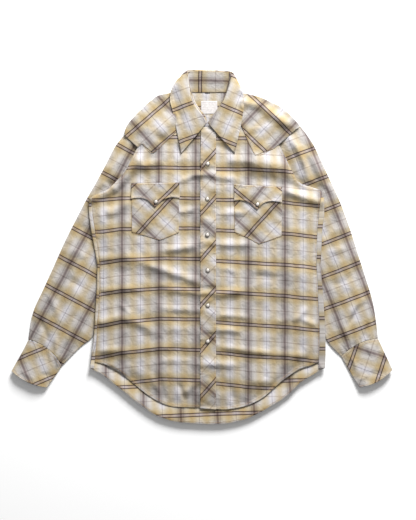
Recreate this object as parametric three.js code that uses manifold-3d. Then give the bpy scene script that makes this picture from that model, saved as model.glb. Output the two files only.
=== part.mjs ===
// Western snap shirt with long sleeves, buttoned up and laid face up on a table, its sleeves
// tucked under the sides of the body.
// Millimetres. X runs across the laid shirt, Y from the hem to the collar, Z up from the table.
// The wearer's right side is at -X, and every name here is the wearer's side.
// The origin lies on the table, under the middle of the laid shirt.

import * as THREE from 'three';
import { mergeVertices } from 'three/addons/utils/BufferGeometryUtils.js';
import Module from 'manifold-3d';

const wasm = await Module();
wasm.setup();

// Driving dimensions

const WALL = 1.2;                 // one layer of shirting, with its seam allowance
const GAP = 0.3;                  // air left between two pieces at a seam
const LAYER = WALL + GAP;         // step from one layer to the next one on top of it
const LATTICE_STEP = 26;          // spacing of the points that carry the folds
const BODY_HOLLOW = 2.6;          // air between back and fronts, away from the seams
const EDGE_HOLLOW = 1.0;          // the same air at the edges
const HOLLOW_BLEND = 50;          // distance over which the edge opens to the full hollow

const SLEEVE_UNDER = 4.4;         // height of a sleeve where the body lies on it
const BODY_OVER_SLEEVE = 5.0;     // height of the body's underside there
const COVER_MARGIN = 34;          // the body stays up this far past the sleeve's edge
const COVER_BLEND = 90;           // and comes down to the table over this distance
const PUFF_MARGIN = 14;           // a sleeve stays flat this far out from the body
const PUFF_BLEND = 42;            // and puffs up over this distance
const CUFF_WALL = 1.8;            // two layers with interlining
const CUFF_HEIGHT = 7.5;

const HEM_LIFT = 5.0;             // how far the back's hem stands off the table
const HEM_BLEND = 42;
const FRONT_HEM_LIFT = 1.6;
const ARMPIT_Y = 118;              // top of the side seams
const BACK_YOKE_SEAM_Y = 214;     // seam between back and back yoke, under the fronts

const PLACKET_EDGE_X = -4;        // left-over-right closing: the free edge of the placket
const PLACKET_SEAM_X = 33.5;
const UNDERLAP_X = 30;            // how far the right front reaches under the placket
const FRONT_TOP_Y = 287;          // where placket and fronts end under the collar
const COLLAR_WALL = 1.5;
const STAND_WALL = 1.2;

const SNAP_RADIUS = 5.2;
const SNAP_CAP_RADIUS = 4.3;
const SNAP_HEIGHT = 3.2;
const SNAP_SIDES = 12;

const CLOTH = 0xc9c0b0;
const PEARL = 0xe9e6de;
const LABEL = 0xd6d3cc;

/** Turn a table with named columns into one object a row. */
function table(columns, rows) {
  return rows.map((row) => Object.fromEntries(columns.map((name, i) => [name, row[i]])));
}

// Sides of the body, from the hem up to the armpits. The back's cloth wraps to the front between
// each fold and seam.
const SIDES = table(['y', 'rightFold', 'rightSeam', 'leftSeam', 'leftFold'], [
  [-290, -268, -258, 279, 294],
  [-280, -267, -257.5, 279.4, 294.8],
  [-259, -265, -256, 280, 296],
  [-223, -260, -253, 282, 296],
  [-175, -257, -251, 281, 294],
  [-127, -254, -247, 278, 291],
  [-91, -252, -246, 277, 288],
  [-43, -251, -245, 274, 284],
  [-7, -257, -250, 275, 286],
  [41, -266, -257, 276, 288],
  [77, -271, -263, 280, 293],
  [100, -272, -265, 282, 293],
  [118, -269, -264, 284, 292.5],
]);

const FRONT_HEM = table(['x', 'y'], [
  [-256.5, -276], [-233, -281], [-216, -289], [-197, -301], [-178, -316], [-154, -336],
  [-125, -358], [-101, -372], [-72, -382], [-41, -384], [-5, -385], [34, -388], [58, -389],
  [91, -384], [115, -377], [144, -362], [163, -347], [187, -325], [211, -307], [235, -292],
  [259, -284], [279, -276],
]);

const BACK_HEM = table(['x', 'y'], [
  [-268, -290], [-245, -302], [-221, -319], [-197, -338], [-173, -358], [-149, -377],
  [-125, -394], [-101, -407], [-77, -415], [-53, -420], [-5, -423], [19, -424], [43, -424],
  [67, -421], [91, -416], [115, -408], [139, -396], [163, -382], [187, -368], [211, -350],
  [235, -324], [259, -310], [283, -295], [294, -290],
]);

// The front edges over the sleeves, from the armpit up to the shoulder seam.
const ARMHOLE_RIGHT = table(['x', 'y'], [
  [-267, 119.6], [-250, 127], [-225, 138], [-203, 159], [-184, 181], [-172, 203],
  [-163, 222], [-154, 239.2],
]);
const ARMHOLE_LEFT = table(['x', 'y'], [
  [290, 120], [288, 132], [281, 137], [264, 143], [240, 150], [227, 160], [218, 177],
  [208, 196], [199, 216], [184, 245],
]);

// Shoulders, from the sleeve seam to the neck, where the yokes turn over to the back.
const SHOULDER_RIGHT = table(['x', 'y'], [
  [-185, 266.8], [-182, 286], [-173, 300], [-161, 314], [-146, 329], [-132, 343], [-116, 356],
  [-103, 364], [-78, 369], [-52, 373],
]);
const SHOULDER_LEFT = table(['x', 'y'], [
  [234.4, 290.2], [226, 300], [211, 316], [187, 336], [163, 348], [142, 358], [113, 366],
  [92, 370], [80, 373],
]);

// The front edge of the neck, hidden under the collar.
const NECK_RIGHT = table(['x', 'y'], [
  [-40, 370], [-37, 343], [-26, 320], [-8, 300], [0, 287],
]);
const NECK_LEFT = table(['x', 'y'], [
  [33, 287], [38, 302], [51, 322], [61, 343], [70, 370],
]);

// The pointed lower edges of the front yokes.
const YOKE_EDGE_RIGHT = table(['x', 'y'], [[-58, 279], [-116, 224], [-144, 247], [-154, 239.2]]);
const YOKE_EDGE_LEFT = table(['x', 'y'], [[94, 289], [127, 219], [170, 234], [184, 245]]);

// Patch pockets with a pointed foot, and their scalloped flaps.
const POCKET_RIGHT = table(['x', 'y'], [
  [-168, 146], [-168, 36], [-134, 26], [-101, 16], [-56, 34], [-54, 146],
]);
const POCKET_LEFT = table(['x', 'y'], [
  [77, 144], [78, 36], [108, 22], [137, 7], [190, 26], [192, 141],
]);
const FLAP_RIGHT = table(['x', 'y'], [
  [-169, 152], [-170, 115], [-160, 117], [-147, 117], [-132, 113], [-122, 104], [-112, 95],
  [-103, 105], [-94, 112], [-80, 118], [-66, 119], [-53, 117], [-54, 154],
]);
const FLAP_LEFT = table(['x', 'y'], [
  [77, 150], [77, 111], [89, 112], [101, 110], [115, 104], [124, 96], [132, 89],
  [139, 98], [148, 105], [160, 109], [175, 109], [191, 106], [192, 143],
]);

// Sleeves as pairs of edge points, from the shoulder to the cuff. The inner edge is hidden
// under the body down to the eighth row. Puff is the height where nothing lies on the sleeve,
// and bow moves the middle of the row along the sleeve.
const SLEEVE_COLUMNS = ['outerX', 'outerY', 'innerX', 'innerY', 'puff', 'bow'];
const SLEEVE_RIGHT = table(SLEEVE_COLUMNS, [
  [-187, 268, -140, 226, 6.2, 0],
  [-209, 240, -149, 197, 6.2, 0],
  [-230, 199, -158, 156, 6.4, 0],
  [-252, 158, -170, 113, 6.4, 0],
  [-275, 118, -182, 65, 6.4, 0],
  [-300, 70, -197, 17, 6.4, 0],
  [-329, 12, -214, -48, 6.4, 0],
  [-355, -46, -230, -110, 6.4, 0],
  [-380, -101, -247, -168, 6.4, 2],
  [-401, -146, -263, -215, 6.4, 5],
  [-410, -180, -292, -240, 6.4, 8],
  [-415.6, -221.5, -336, -285, 6.2, 11],
]);
const SLEEVE_LEFT = table(SLEEVE_COLUMNS, [
  [235, 290, 188, 248, 6.2, 0],
  [250, 271, 181, 216, 6.2, 0],
  [270, 240, 186, 185, 6.4, 0],
  [300, 176, 200, 137, 6.4, 0],
  [326, 120, 216, 77, 6.4, 0],
  [341, 82, 226, 40, 6.4, 0],
  [358, 34, 240, -10, 6.4, 0],
  [375, -20, 254, -60, 6.4, 0],
  [394, -79, 268, -115, 6.4, 1],
  [409, -130, 284, -165, 6.4, 3],
  [417, -176, 299, -223, 6.4, 6],
  [422, -219, 334, -262, 6.2, 9],
]);

const CUFF_COLUMNS = ['outerX', 'outerY', 'innerX', 'innerY', 'height', 'bow'];
const CUFF_RIGHT = table(CUFF_COLUMNS, [
  [-415.8, -221.8, -336.2, -285.4, 6.6, 11],
  [-430, -250, -348, -303, CUFF_HEIGHT, 4],
  [-445, -277, -361, -321, CUFF_HEIGHT, -4],
  [-456, -297, -371, -336, CUFF_HEIGHT, -8],
]);
const CUFF_LEFT = table(CUFF_COLUMNS, [
  [422.1, -219.4, 334.2, -262.4, 6.6, 9],
  [436, -250, 351, -292, CUFF_HEIGHT, 3],
  [448, -276, 366, -318, CUFF_HEIGHT, -4],
  [456, -294, 377, -336, CUFF_HEIGHT, -8],
]);

// The main folds of the fronts: a soft ridge between two points, or a trough where the height
// is negative. Width is the distance at which the fold has died away to a third.
const FOLDS = table(['x1', 'y1', 'x2', 'y2', 'width', 'height'], [
  [-163, 205, -215, 142, 20, 3.5],
  [-150, 178, -222, 118, 20, -1.6],
  [-5, 172, -90, 150, 20, -1.6],
  [-40, 200, -120, 176, 26, 3],
  [-160, -46, -90, -62, 22, 5],
  [-150, -18, -60, 4, 30, 3],
  [-90, -62, -8, -100, 22, 4],
  [-90, 4, -8, -20, 22, -1.6],
  [-226, -120, -214, -240, 22, 4],
  [-140, -130, -60, -180, 34, 2.5],
  [-150, -230, -70, -290, 32, 2.5],
  [60, 208, 235, 210, 22, 5],
  [50, 188, 235, 180, 18, -1.6],
  [194, 152, 280, 102, 20, 3],
  [40, -50, 90, -44, 22, 4],
  [35, -70, 120, -68, 18, -1.6],
  [120, 0, 190, -30, 34, 3],
  [110, -110, 210, -150, 32, 3],
  [120, -230, 190, -290, 30, 3],
  [240, 40, 256, -60, 26, 3.5],
  [236, -120, 250, -220, 26, 3],
  [-64, 330, -110, 300, 26, 2.5],
  [150, 340, 204, 282, 20, 4],
]);

const SNAPS = table(['name', 'x', 'y', 'layer'], [
  ['snap_front_1', 14, 199, 3],
  ['snap_front_2', 13, 115, 3],
  ['snap_front_3', 13, 29, 3],
  ['snap_front_4', 14, -56, 3],
  ['snap_front_5', 14, -140, 3],
  ['snap_front_6', 14, -226, 3],
  ['snap_pocket_right', -110, 108, 3],
  ['snap_pocket_left', 133, 102, 4],
]);

// The collar's leaf from the right tip round the back to the left tip: the roll line, the
// bend of the fold, and the free edge, each with its height over the table.
const LEAF = table(
  ['rollX', 'rollY', 'rollZ', 'bendX', 'bendY', 'bendZ', 'edgeX', 'edgeY', 'edgeZ'], [
    [10, 296, 12, -20, 259, 11, -50, 224, 10],
    [1, 311, 13.4, -30, 284, 13, -56, 255, 10.4],
    [-12, 328, 14.6, -40, 308, 14.4, -62, 284, 10.8],
    [-24, 344, 15.6, -52, 336, 15.6, -71, 326, 11],
    [-30, 360, 16, -56, 357, 16, -77, 352, 11],
    [-32, 378, 16, -54, 378, 15.8, -74, 374, 11],
    [-35, 396, 14.6, -50, 400, 12, -62, 397, 7],
    [-36, 410, 12.2, -46, 413, 8.6, -48, 406, 3.4],
    [-30, 417, 10.4, -34, 422, 5.6, -30, 396, 1.2],
    [-8, 420, 9.6, -8, 424, 5, -8, 385, 0.4],
    [20, 420, 9.4, 20, 424, 4.8, 20, 384, 0],
    [46, 418, 9.6, 46, 422, 5, 46, 385, 0.4],
    [66, 414, 10.6, 71, 418, 5.8, 64, 396, 1.4],
    [71, 404, 13, 81, 404, 9.4, 80, 400, 3.8],
    [68, 388, 15.6, 84, 390, 13.4, 92, 384, 8.4],
    [62, 370, 17, 82, 371, 17, 99, 366, 12],
    [56, 354, 17, 80, 350, 17, 101, 344, 12],
    [48, 340, 16.6, 74, 328, 16, 97, 312, 11.6],
    [34, 320, 15.6, 64, 298, 14.4, 92, 286, 10.8],
    [23, 305, 14.2, 55, 274, 13.2, 85, 254, 11.6],
    [15, 296, 12.6, 47, 259, 12.4, 78.5, 224, 11.8],
  ]);

// The collar's stand inside the roll line: its neck seam and its top edge.
const STAND = table(['seamX', 'seamY', 'seamZ', 'topX', 'topY', 'topZ'], [
  [11.6, 303, 4.4, 10.6, 299.5, 8.6],
  [8, 317, 4, 1, 314.5, 10],
  [-3, 332, 3.6, -11, 330, 11],
  [-12, 346, 3.2, -21, 345, 12],
  [-17, 360, 3, -26.5, 360, 12.4],
  [-20, 372, 2.6, -28, 378, 12.4],
  [-22, 378.6, 2.4, -30.5, 395, 11],
  [-20, 380, 2.4, -30, 406, 9.2],
  [-12, 380, 2.4, -22, 412, 7.6],
  [2, 380, 2.4, -4, 414.6, 6.8],
  [20, 380, 2.4, 20, 415, 6.6],
  [38, 380, 2.4, 42, 413, 6.8],
  [50, 380, 2.4, 58, 410, 7.8],
  [58, 379, 2.4, 64.5, 402, 10.2],
  [58, 372, 2.6, 63.5, 388, 12.4],
  [52, 360, 3, 58.5, 371, 13.6],
  [45, 347, 3.4, 52, 355, 13.6],
  [36, 334, 3.8, 44, 342, 13],
  [25, 319, 4, 31, 323, 12],
  [16.6, 305, 4.4, 20, 308.5, 10.4],
]);

const LABEL_CORNERS = table(['x', 'y'], [[-2, 319], [37, 320], [36.5, 350.5], [-2, 350]]);
const SIZE_TAG_CORNERS = table(['x', 'y'], [[10, 364], [21, 364], [21, 377.4], [10, 377.4]]);

// Plane geometry

const ease = (t) => {
  const s = Math.min(1, Math.max(0, t));
  return s * s * (3 - 2 * s);
};
const mix = (a, b, t) => a + (b - a) * t;

/** Read a column of a table at a value of another one, in straight steps. */
function lookUp(rows, key, column, value) {
  const first = rows[0][key] < rows[rows.length - 1][key] ? rows : [...rows].reverse();
  if (value <= first[0][key]) return first[0][column];
  for (let i = 1; i < first.length; i += 1) {
    if (value <= first[i][key]) {
      const t = (value - first[i - 1][key]) / (first[i][key] - first[i - 1][key]);
      return mix(first[i - 1][column], first[i][column], t);
    }
  }
  return first[first.length - 1][column];
}

/** Distance from a point to a piece of straight line. */
function segmentDistance(x, y, x1, y1, x2, y2) {
  const dx = x2 - x1;
  const dy = y2 - y1;
  const length2 = dx * dx + dy * dy || 1;
  const t = Math.min(1, Math.max(0, ((x - x1) * dx + (y - y1) * dy) / length2));
  return Math.hypot(x - x1 - t * dx, y - y1 - t * dy);
}

/** Distance from a point to a chain of points. */
function chainDistance(x, y, chain, closed) {
  let best = Infinity;
  const count = closed ? chain.length : chain.length - 1;
  for (let i = 0; i < count; i += 1) {
    const a = chain[i];
    const b = chain[(i + 1) % chain.length];
    best = Math.min(best, segmentDistance(x, y, a.x, a.y, b.x, b.y));
  }
  return best;
}

function isInside(x, y, polygon) {
  let inside = false;
  for (let i = 0, j = polygon.length - 1; i < polygon.length; j = i, i += 1) {
    const a = polygon[i];
    const b = polygon[j];
    if ((a.y > y) !== (b.y > y) && x < ((b.x - a.x) * (y - a.y)) / (b.y - a.y) + a.x) {
      inside = !inside;
    }
  }
  return inside;
}

const distanceOutside = (x, y, polygon) => (
  isInside(x, y, polygon) ? 0 : chainDistance(x, y, polygon, true)
);

const footprint = (rows) => [
  ...rows.map((row) => ({ x: row.outerX, y: row.outerY })),
  ...[...rows].reverse().map((row) => ({ x: row.innerX, y: row.innerY })),
];

// The laid body's heights

const SLEEVE_FOOTPRINTS = [footprint(SLEEVE_RIGHT), footprint(SLEEVE_LEFT)];
const sideChain = (column) => SIDES.map((row) => ({ x: row[column], y: row.y }));
const BODY_OUTLINE = [
  ...sideChain('rightFold').reverse(),
  ...BACK_HEM,
  ...sideChain('leftFold'),
  ...ARMHOLE_LEFT,
  ...SHOULDER_LEFT,
  ...[...SHOULDER_RIGHT].reverse(),
  ...[...ARMHOLE_RIGHT].reverse(),
];
const COVER_LINES = [
  [...sideChain('rightFold'), ...ARMHOLE_RIGHT],
  [...sideChain('leftFold'), ...ARMHOLE_LEFT],
];

/** Height of the back's underside: up over the tucked sleeves, and off the table at the hem. */
function backUnderside(x, y) {
  const away = Math.min(...SLEEVE_FOOTPRINTS.map((sleeve) => distanceOutside(x, y, sleeve)));
  const overSleeve = BODY_OVER_SLEEVE * ease(1 - (away - COVER_MARGIN) / COVER_BLEND);
  const hemY = lookUp(BACK_HEM, 'x', 'y', x);
  const atHem = HEM_LIFT * ease(1 - (y - hemY) / HEM_BLEND);
  return Math.max(overSleeve, atHem);
}

function foldHeight(x, y) {
  let sum = 0;
  for (const fold of FOLDS) {
    const d = segmentDistance(x, y, fold.x1, fold.y1, fold.x2, fold.y2);
    sum += fold.height * Math.exp(-((d / fold.width) ** 2));
  }
  return sum;
}

/** Height of the right front's underside, which every layer above follows. */
function frontUnderside(x, y) {
  const inside = isInside(x, y, BODY_OUTLINE);
  const edge = inside ? chainDistance(x, y, BODY_OUTLINE, true) : 0;
  const open = ease(edge / HOLLOW_BLEND);
  const air = mix(EDGE_HOLLOW, BODY_HOLLOW, open);
  const fold = foldHeight(x, y) * mix(0.35, 1, open);
  const hemY = lookUp(FRONT_HEM, 'x', 'y', x);
  const atHem = FRONT_HEM_LIFT * ease(1 - (y - hemY) / HEM_BLEND);
  return backUnderside(x, y) + WALL + Math.max(air + fold + atHem, EDGE_HOLLOW * 0.8);
}

// One lattice carries the heights of every front layer, so stacked layers stay parallel.
const LATTICE = { x0: -312, y0: -442, columns: 24, rows: 33 };
const latticePoint = (i, j) => [LATTICE.x0 + i * LATTICE_STEP, LATTICE.y0 + j * LATTICE_STEP];
const HEIGHTS = { back: [], front: [] };
for (let j = 0; j <= LATTICE.rows; j += 1) {
  for (let i = 0; i <= LATTICE.columns; i += 1) {
    const [x, y] = latticePoint(i, j);
    HEIGHTS.back.push(backUnderside(x, y));
    HEIGHTS.front.push(frontUnderside(x, y));
  }
}
const latticeHeight = (kind, i, j) => HEIGHTS[kind][j * (LATTICE.columns + 1) + i];

/** Height of a lattice surface between its points, over the same two triangles as its solid. */
function surfaceAt(kind, x, y) {
  const u = (x - LATTICE.x0) / LATTICE_STEP;
  const v = (y - LATTICE.y0) / LATTICE_STEP;
  const i = Math.floor(u);
  const j = Math.floor(v);
  const s = u - i;
  const t = v - j;
  const a = latticeHeight(kind, i, j);
  const b = latticeHeight(kind, i + 1, j);
  const c = latticeHeight(kind, i + 1, j + 1);
  const d = latticeHeight(kind, i, j + 1);
  return s >= t ? a + s * (b - a) + t * (c - b) : a + t * (d - a) + s * (c - d);
}

// Solids

function geometryFrom(positions, triangles) {
  const geometry = new THREE.BufferGeometry();
  geometry.setAttribute('position', new THREE.Float32BufferAttribute(positions, 3));
  geometry.setIndex(triangles);
  return geometry;
}

function toManifold(geometry) {
  const bare = geometry.clone();
  bare.deleteAttribute('normal');
  bare.deleteAttribute('uv');
  const merged = mergeVertices(bare, 1e-4);
  return new wasm.Manifold(new wasm.Mesh({
    numProp: 3,
    vertProperties: Float32Array.from(merged.getAttribute('position').array),
    triVerts: Uint32Array.from(merged.getIndex().array),
  }));
}

function fromManifold(solid) {
  const mesh = solid.getMesh();
  return geometryFrom([...mesh.vertProperties], [...mesh.triVerts]);
}

/** A closed solid between two grids of points, over and under, with the same layout. */
function solidBetween(over, under) {
  const rows = over.length;
  const columns = over[0].length;
  const positions = [...over.flat().flat(), ...under.flat().flat()];
  const shift = rows * columns;
  const at = (r, c) => r * columns + c;
  const triangles = [];
  const quad = (a, b, c, d) => triangles.push(a, b, c, a, c, d);
  for (let r = 0; r < rows - 1; r += 1) {
    for (let c = 0; c < columns - 1; c += 1) {
      quad(at(r, c), at(r, c + 1), at(r + 1, c + 1), at(r + 1, c));
      quad(shift + at(r, c), shift + at(r + 1, c), shift + at(r + 1, c + 1),
        shift + at(r, c + 1));
    }
  }
  for (let c = 0; c < columns - 1; c += 1) {
    quad(at(0, c), shift + at(0, c), shift + at(0, c + 1), at(0, c + 1));
    quad(at(rows - 1, c + 1), shift + at(rows - 1, c + 1), shift + at(rows - 1, c),
      at(rows - 1, c));
  }
  for (let r = 0; r < rows - 1; r += 1) {
    quad(at(r + 1, 0), shift + at(r + 1, 0), shift + at(r, 0), at(r, 0));
    quad(at(r, columns - 1), shift + at(r, columns - 1), shift + at(r + 1, columns - 1),
      at(r + 1, columns - 1));
  }
  return geometryFrom(positions, triangles);
}

/** One layer of cloth over the box of an outline, cut from the lattice. */
function latticeSlab(kind, lift, wall, outline) {
  const xs = outline.map((p) => p.x);
  const ys = outline.map((p) => p.y);
  const i0 = Math.floor((Math.min(...xs) - 1 - LATTICE.x0) / LATTICE_STEP);
  const i1 = Math.ceil((Math.max(...xs) + 1 - LATTICE.x0) / LATTICE_STEP);
  const j0 = Math.floor((Math.min(...ys) - 1 - LATTICE.y0) / LATTICE_STEP);
  const j1 = Math.ceil((Math.max(...ys) + 1 - LATTICE.y0) / LATTICE_STEP);
  const over = [];
  const under = [];
  for (let j = j0; j <= j1; j += 1) {
    over.push([]);
    under.push([]);
    for (let i = i0; i <= i1; i += 1) {
      const [x, y] = latticePoint(i, j);
      const z = latticeHeight(kind, i, j) + lift;
      over[over.length - 1].push([x, y, z + wall]);
      under[under.length - 1].push([x, y, z]);
    }
  }
  return solidBetween(over, under);
}

/** A cut piece of cloth: the layer at this lift, trimmed to its outline. */
function cutPiece(kind, lift, outline, wall = WALL) {
  const shape = new THREE.Shape(outline.map((p) => new THREE.Vector2(p.x, p.y)));
  const depth = 80;
  const prism = new THREE.ExtrudeGeometry(shape, { depth, bevelEnabled: false });
  prism.translate(0, 0, -depth / 4);
  const slab = toManifold(latticeSlab(kind, lift, wall, outline));
  return fromManifold(slab.intersect(toManifold(prism)));
}

/** Unit normals of a grid of points, from the grid's own directions. */
function gridNormals(grid) {
  const rows = grid.length;
  const columns = grid[0].length;
  const v = (r, c) => new THREE.Vector3(...grid[r][c]);
  return grid.map((row, r) => row.map((_, c) => {
    const along = v(Math.min(r + 1, rows - 1), c).sub(v(Math.max(r - 1, 0), c));
    const across = v(r, Math.min(c + 1, columns - 1)).sub(v(r, Math.max(c - 1, 0)));
    return along.cross(across).normalize();
  }));
}

/** A wall of cloth on the inner side of a grid of points. */
function shell(grid, wall) {
  const normals = gridNormals(grid);
  const under = grid.map((row, r) => row.map((p, c) => [
    p[0] - normals[r][c].x * wall,
    p[1] - normals[r][c].y * wall,
    p[2] - normals[r][c].z * wall,
  ]));
  return solidBetween(grid, under);
}

/** Rows of a table read at even steps through a smooth curve. */
function smoothRows(rows, steps) {
  const columns = Object.keys(rows[0]);
  const result = [];
  for (let k = 0; k <= steps; k += 1) {
    const t = (k / steps) * (rows.length - 1);
    const i = Math.min(rows.length - 2, Math.floor(t));
    const f = t - i;
    const before = rows[Math.max(0, i - 1)];
    const after = rows[Math.min(rows.length - 1, i + 2)];
    const row = {};
    for (const name of columns) {
      const a = rows[i][name];
      const b = rows[i + 1][name];
      const ta = (b - before[name]) / 2;
      const tb = (after[name] - a) / 2;
      row[name] = a * (2 * f ** 3 - 3 * f ** 2 + 1) + ta * (f ** 3 - 2 * f ** 2 + f)
        + b * (3 * f ** 2 - 2 * f ** 3) + tb * (f ** 3 - f ** 2);
    }
    result.push(row);
  }
  return result;
}

// Section of a flattened tube: along is the share of the width, up the share of the height.
const TUBE_SECTION = table(['along', 'up'], [
  [0, 0.5], [0.012, 0.82], [0.05, 1], [0.13, 1], [0.23, 1], [0.34, 1], [0.45, 1], [0.56, 1],
  [0.67, 1], [0.78, 1], [0.88, 1], [0.95, 1], [0.988, 0.82], [1, 0.5], [0.985, 0], [0.82, 0],
  [0.6, 0], [0.4, 0], [0.18, 0], [0.015, 0],
]);

/** A flattened tube of cloth, open at both ends and flat underneath. */
function flatTube(rows, wall, heightAt) {
  const outer = [];
  const inner = [];
  rows.forEach((row) => {
    const width = Math.hypot(row.innerX - row.outerX, row.innerY - row.outerY);
    const axisX = (row.innerY - row.outerY) / width;
    const axisY = (row.outerX - row.innerX) / width;
    const side = axisY < 0 ? -1 : 1;
    const ring = (scale, floor) => TUBE_SECTION.map((point) => {
      const share = 0.5 + (point.along - 0.5) * scale;
      const bow = row.bow * 4 * share * (1 - share) * side;
      const x = mix(row.outerX, row.innerX, share) + axisX * bow;
      const y = mix(row.outerY, row.innerY, share) + axisY * bow;
      const h = heightAt(x, y, share, row);
      return [x, y, floor + (point.up * h * (h - 2 * floor)) / h];
    });
    outer.push(ring(1, 0));
    inner.push(ring(1 - (2 * wall) / width, wall));
  });
  const turns = outer.length;
  const sides = TUBE_SECTION.length;
  const positions = [...outer.flat().flat(), ...inner.flat().flat()];
  const shift = turns * sides;
  const triangles = [];
  const quad = (a, b, c, d) => triangles.push(a, b, c, a, c, d);
  const at = (r, c) => r * sides + (c % sides);
  for (let r = 0; r < turns - 1; r += 1) {
    for (let c = 0; c < sides; c += 1) {
      quad(at(r, c), at(r + 1, c), at(r + 1, c + 1), at(r, c + 1));
      quad(shift + at(r, c), shift + at(r, c + 1), shift + at(r + 1, c + 1),
        shift + at(r + 1, c));
    }
  }
  for (let c = 0; c < sides; c += 1) {
    quad(at(0, c), at(0, c + 1), shift + at(0, c + 1), shift + at(0, c));
    quad(at(turns - 1, c), shift + at(turns - 1, c), shift + at(turns - 1, c + 1),
      at(turns - 1, c + 1));
  }
  const geometry = geometryFrom(positions, triangles);
  return outwards(geometry);
}

/** Turn a closed geometry's faces so that they point out. */
function outwards(geometry) {
  const p = geometry.getAttribute('position');
  const index = geometry.getIndex().array;
  let volume = 0;
  for (let k = 0; k < index.length; k += 3) {
    const a = new THREE.Vector3().fromBufferAttribute(p, index[k]);
    const b = new THREE.Vector3().fromBufferAttribute(p, index[k + 1]);
    const c = new THREE.Vector3().fromBufferAttribute(p, index[k + 2]);
    volume += a.dot(b.cross(c));
  }
  if (volume < 0) {
    for (let k = 0; k < index.length; k += 3) {
      const keep = index[k + 1];
      index[k + 1] = index[k + 2];
      index[k + 2] = keep;
    }
  }
  return geometry;
}

// Pieces

const shirt = new THREE.Group();

function addPiece(name, geometry, { color = CLOTH, roughness = 0.9, metalness = 0 } = {}) {
  const material = new THREE.MeshStandardMaterial({ color, roughness, metalness });
  const mesh = new THREE.Mesh(geometry, material);
  mesh.name = name;
  geometry.computeVertexNormals();
  shirt.add(mesh);
  return mesh;
}

/** Layers of cloth under a piece, counted from the right front. */
const layerLift = (layer) => layer * LAYER;

/** The back: flat on the table, up over the sleeves, and round both sides to the side seams. */
function backPanel() {
  const shares = [0, 0.05, 0.11, 0.18, 0.26, 0.34, 0.42, 0.5, 0.58, 0.66, 0.74, 0.82, 0.89,
    0.95, 1];
  const rises = SIDES.map((row) => (row.y - SIDES[0].y) / (ARMPIT_Y - SIDES[0].y));
  const hemFold = { right: BACK_HEM[0].x, left: BACK_HEM[BACK_HEM.length - 1].x };
  const grid = rises.map((rise) => {
    const place = (share) => {
      const hemY = lookUp(BACK_HEM, 'x', 'y', mix(hemFold.right, hemFold.left, share));
      const y = mix(hemY, ARMPIT_Y, rise);
      const right = lookUp(SIDES, 'y', 'rightFold', y);
      const left = lookUp(SIDES, 'y', 'leftFold', y);
      return [mix(right, left, share), y];
    };
    const lip = (side, share, layer) => {
      const [foldX, y] = place(share);
      const seam = lookUp(SIDES, 'y', `${side}Seam`, y);
      const inward = side === 'right' ? 1 : -1;
      const low = backUnderside(foldX, y);
      const seamX = seam - inward * (GAP / 2);
      const high = Math.max(
        surfaceAt('front', seam, y) + layerLift(layer) + WALL,
        low + 2 * WALL + EDGE_HOLLOW,
      );
      const radius = Math.min((high - low) / 2, Math.abs(seamX - foldX) * 0.6);
      return [
        [seamX, y, high],
        [foldX + inward * radius, y, high],
        [foldX + inward * radius * 0.25, y, mix(low, high, 0.82)],
        [foldX, y, mix(low, high, 0.5)],
        [foldX + inward * radius * 0.25, y, mix(low, high, 0.18)],
        [foldX + inward * radius, y, low],
      ];
    };
    const flat = shares.slice(1, -1).map((share) => {
      const [x, y] = place(share);
      return [x, y, backUnderside(x, y)];
    });
    return [...lip('right', 0, 0), ...flat, ...lip('left', 1, 1).reverse()];
  });
  const lower = toManifold(outwards(shell(grid, WALL)));
  const upper = toManifold(cutPiece('back', 0, [
    { x: -258, y: ARMPIT_Y - 8 },
    { x: 278, y: ARMPIT_Y - 8 },
    ...ARMHOLE_LEFT.slice(1).filter((p) => p.y < BACK_YOKE_SEAM_Y),
    { x: 199, y: BACK_YOKE_SEAM_Y - GAP / 2 },
    { x: -166, y: BACK_YOKE_SEAM_Y - GAP / 2 },
    ...[...ARMHOLE_RIGHT].reverse().filter((p) => p.y < BACK_YOKE_SEAM_Y).slice(0, -1),
  ]));
  return fromManifold(lower.add(upper));
}

addPiece('back', backPanel());

addPiece('back_yoke', cutPiece('back', 0, [
  { x: -164, y: BACK_YOKE_SEAM_Y + GAP / 2 },
  { x: 198, y: BACK_YOKE_SEAM_Y + GAP / 2 },
  { x: 184, y: 245.3 },
  ...SHOULDER_LEFT,
  { x: 66, y: 378 },
  { x: 20, y: 377.5 },
  { x: -32, y: 378 },
  ...[...SHOULDER_RIGHT].reverse(),
  { x: -154, y: 238.8 },
]));

const seamChain = (column, inward) => SIDES
  .filter((row) => row.y > -276)
  .map((row) => ({ x: row[column] + inward * (GAP / 2), y: row.y }));

addPiece('front_right', cutPiece('front', layerLift(0), [
  ...FRONT_HEM.filter((p) => p.x < UNDERLAP_X),
  { x: UNDERLAP_X, y: lookUp(FRONT_HEM, 'x', 'y', UNDERLAP_X) },
  { x: UNDERLAP_X, y: FRONT_TOP_Y },
  ...[...NECK_RIGHT].reverse(),
  ...[...SHOULDER_RIGHT].reverse(),
  ...[...ARMHOLE_RIGHT].reverse(),
  ...seamChain('rightSeam', 1).reverse(),
]));

addPiece('front_left', cutPiece('front', layerLift(1), [
  { x: PLACKET_EDGE_X + 1, y: lookUp(FRONT_HEM, 'x', 'y', PLACKET_EDGE_X + 1) },
  ...FRONT_HEM.filter((p) => p.x > PLACKET_EDGE_X + 4),
  ...seamChain('leftSeam', -1),
  ...ARMHOLE_LEFT,
  ...SHOULDER_LEFT,
  ...[...NECK_LEFT].reverse(),
  { x: PLACKET_EDGE_X + 1, y: FRONT_TOP_Y },
]));

addPiece('front_yoke_right', cutPiece('front', layerLift(1), [
  ...YOKE_EDGE_RIGHT,
  ...SHOULDER_RIGHT,
  ...NECK_RIGHT.slice(0, 3),
]));

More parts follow.
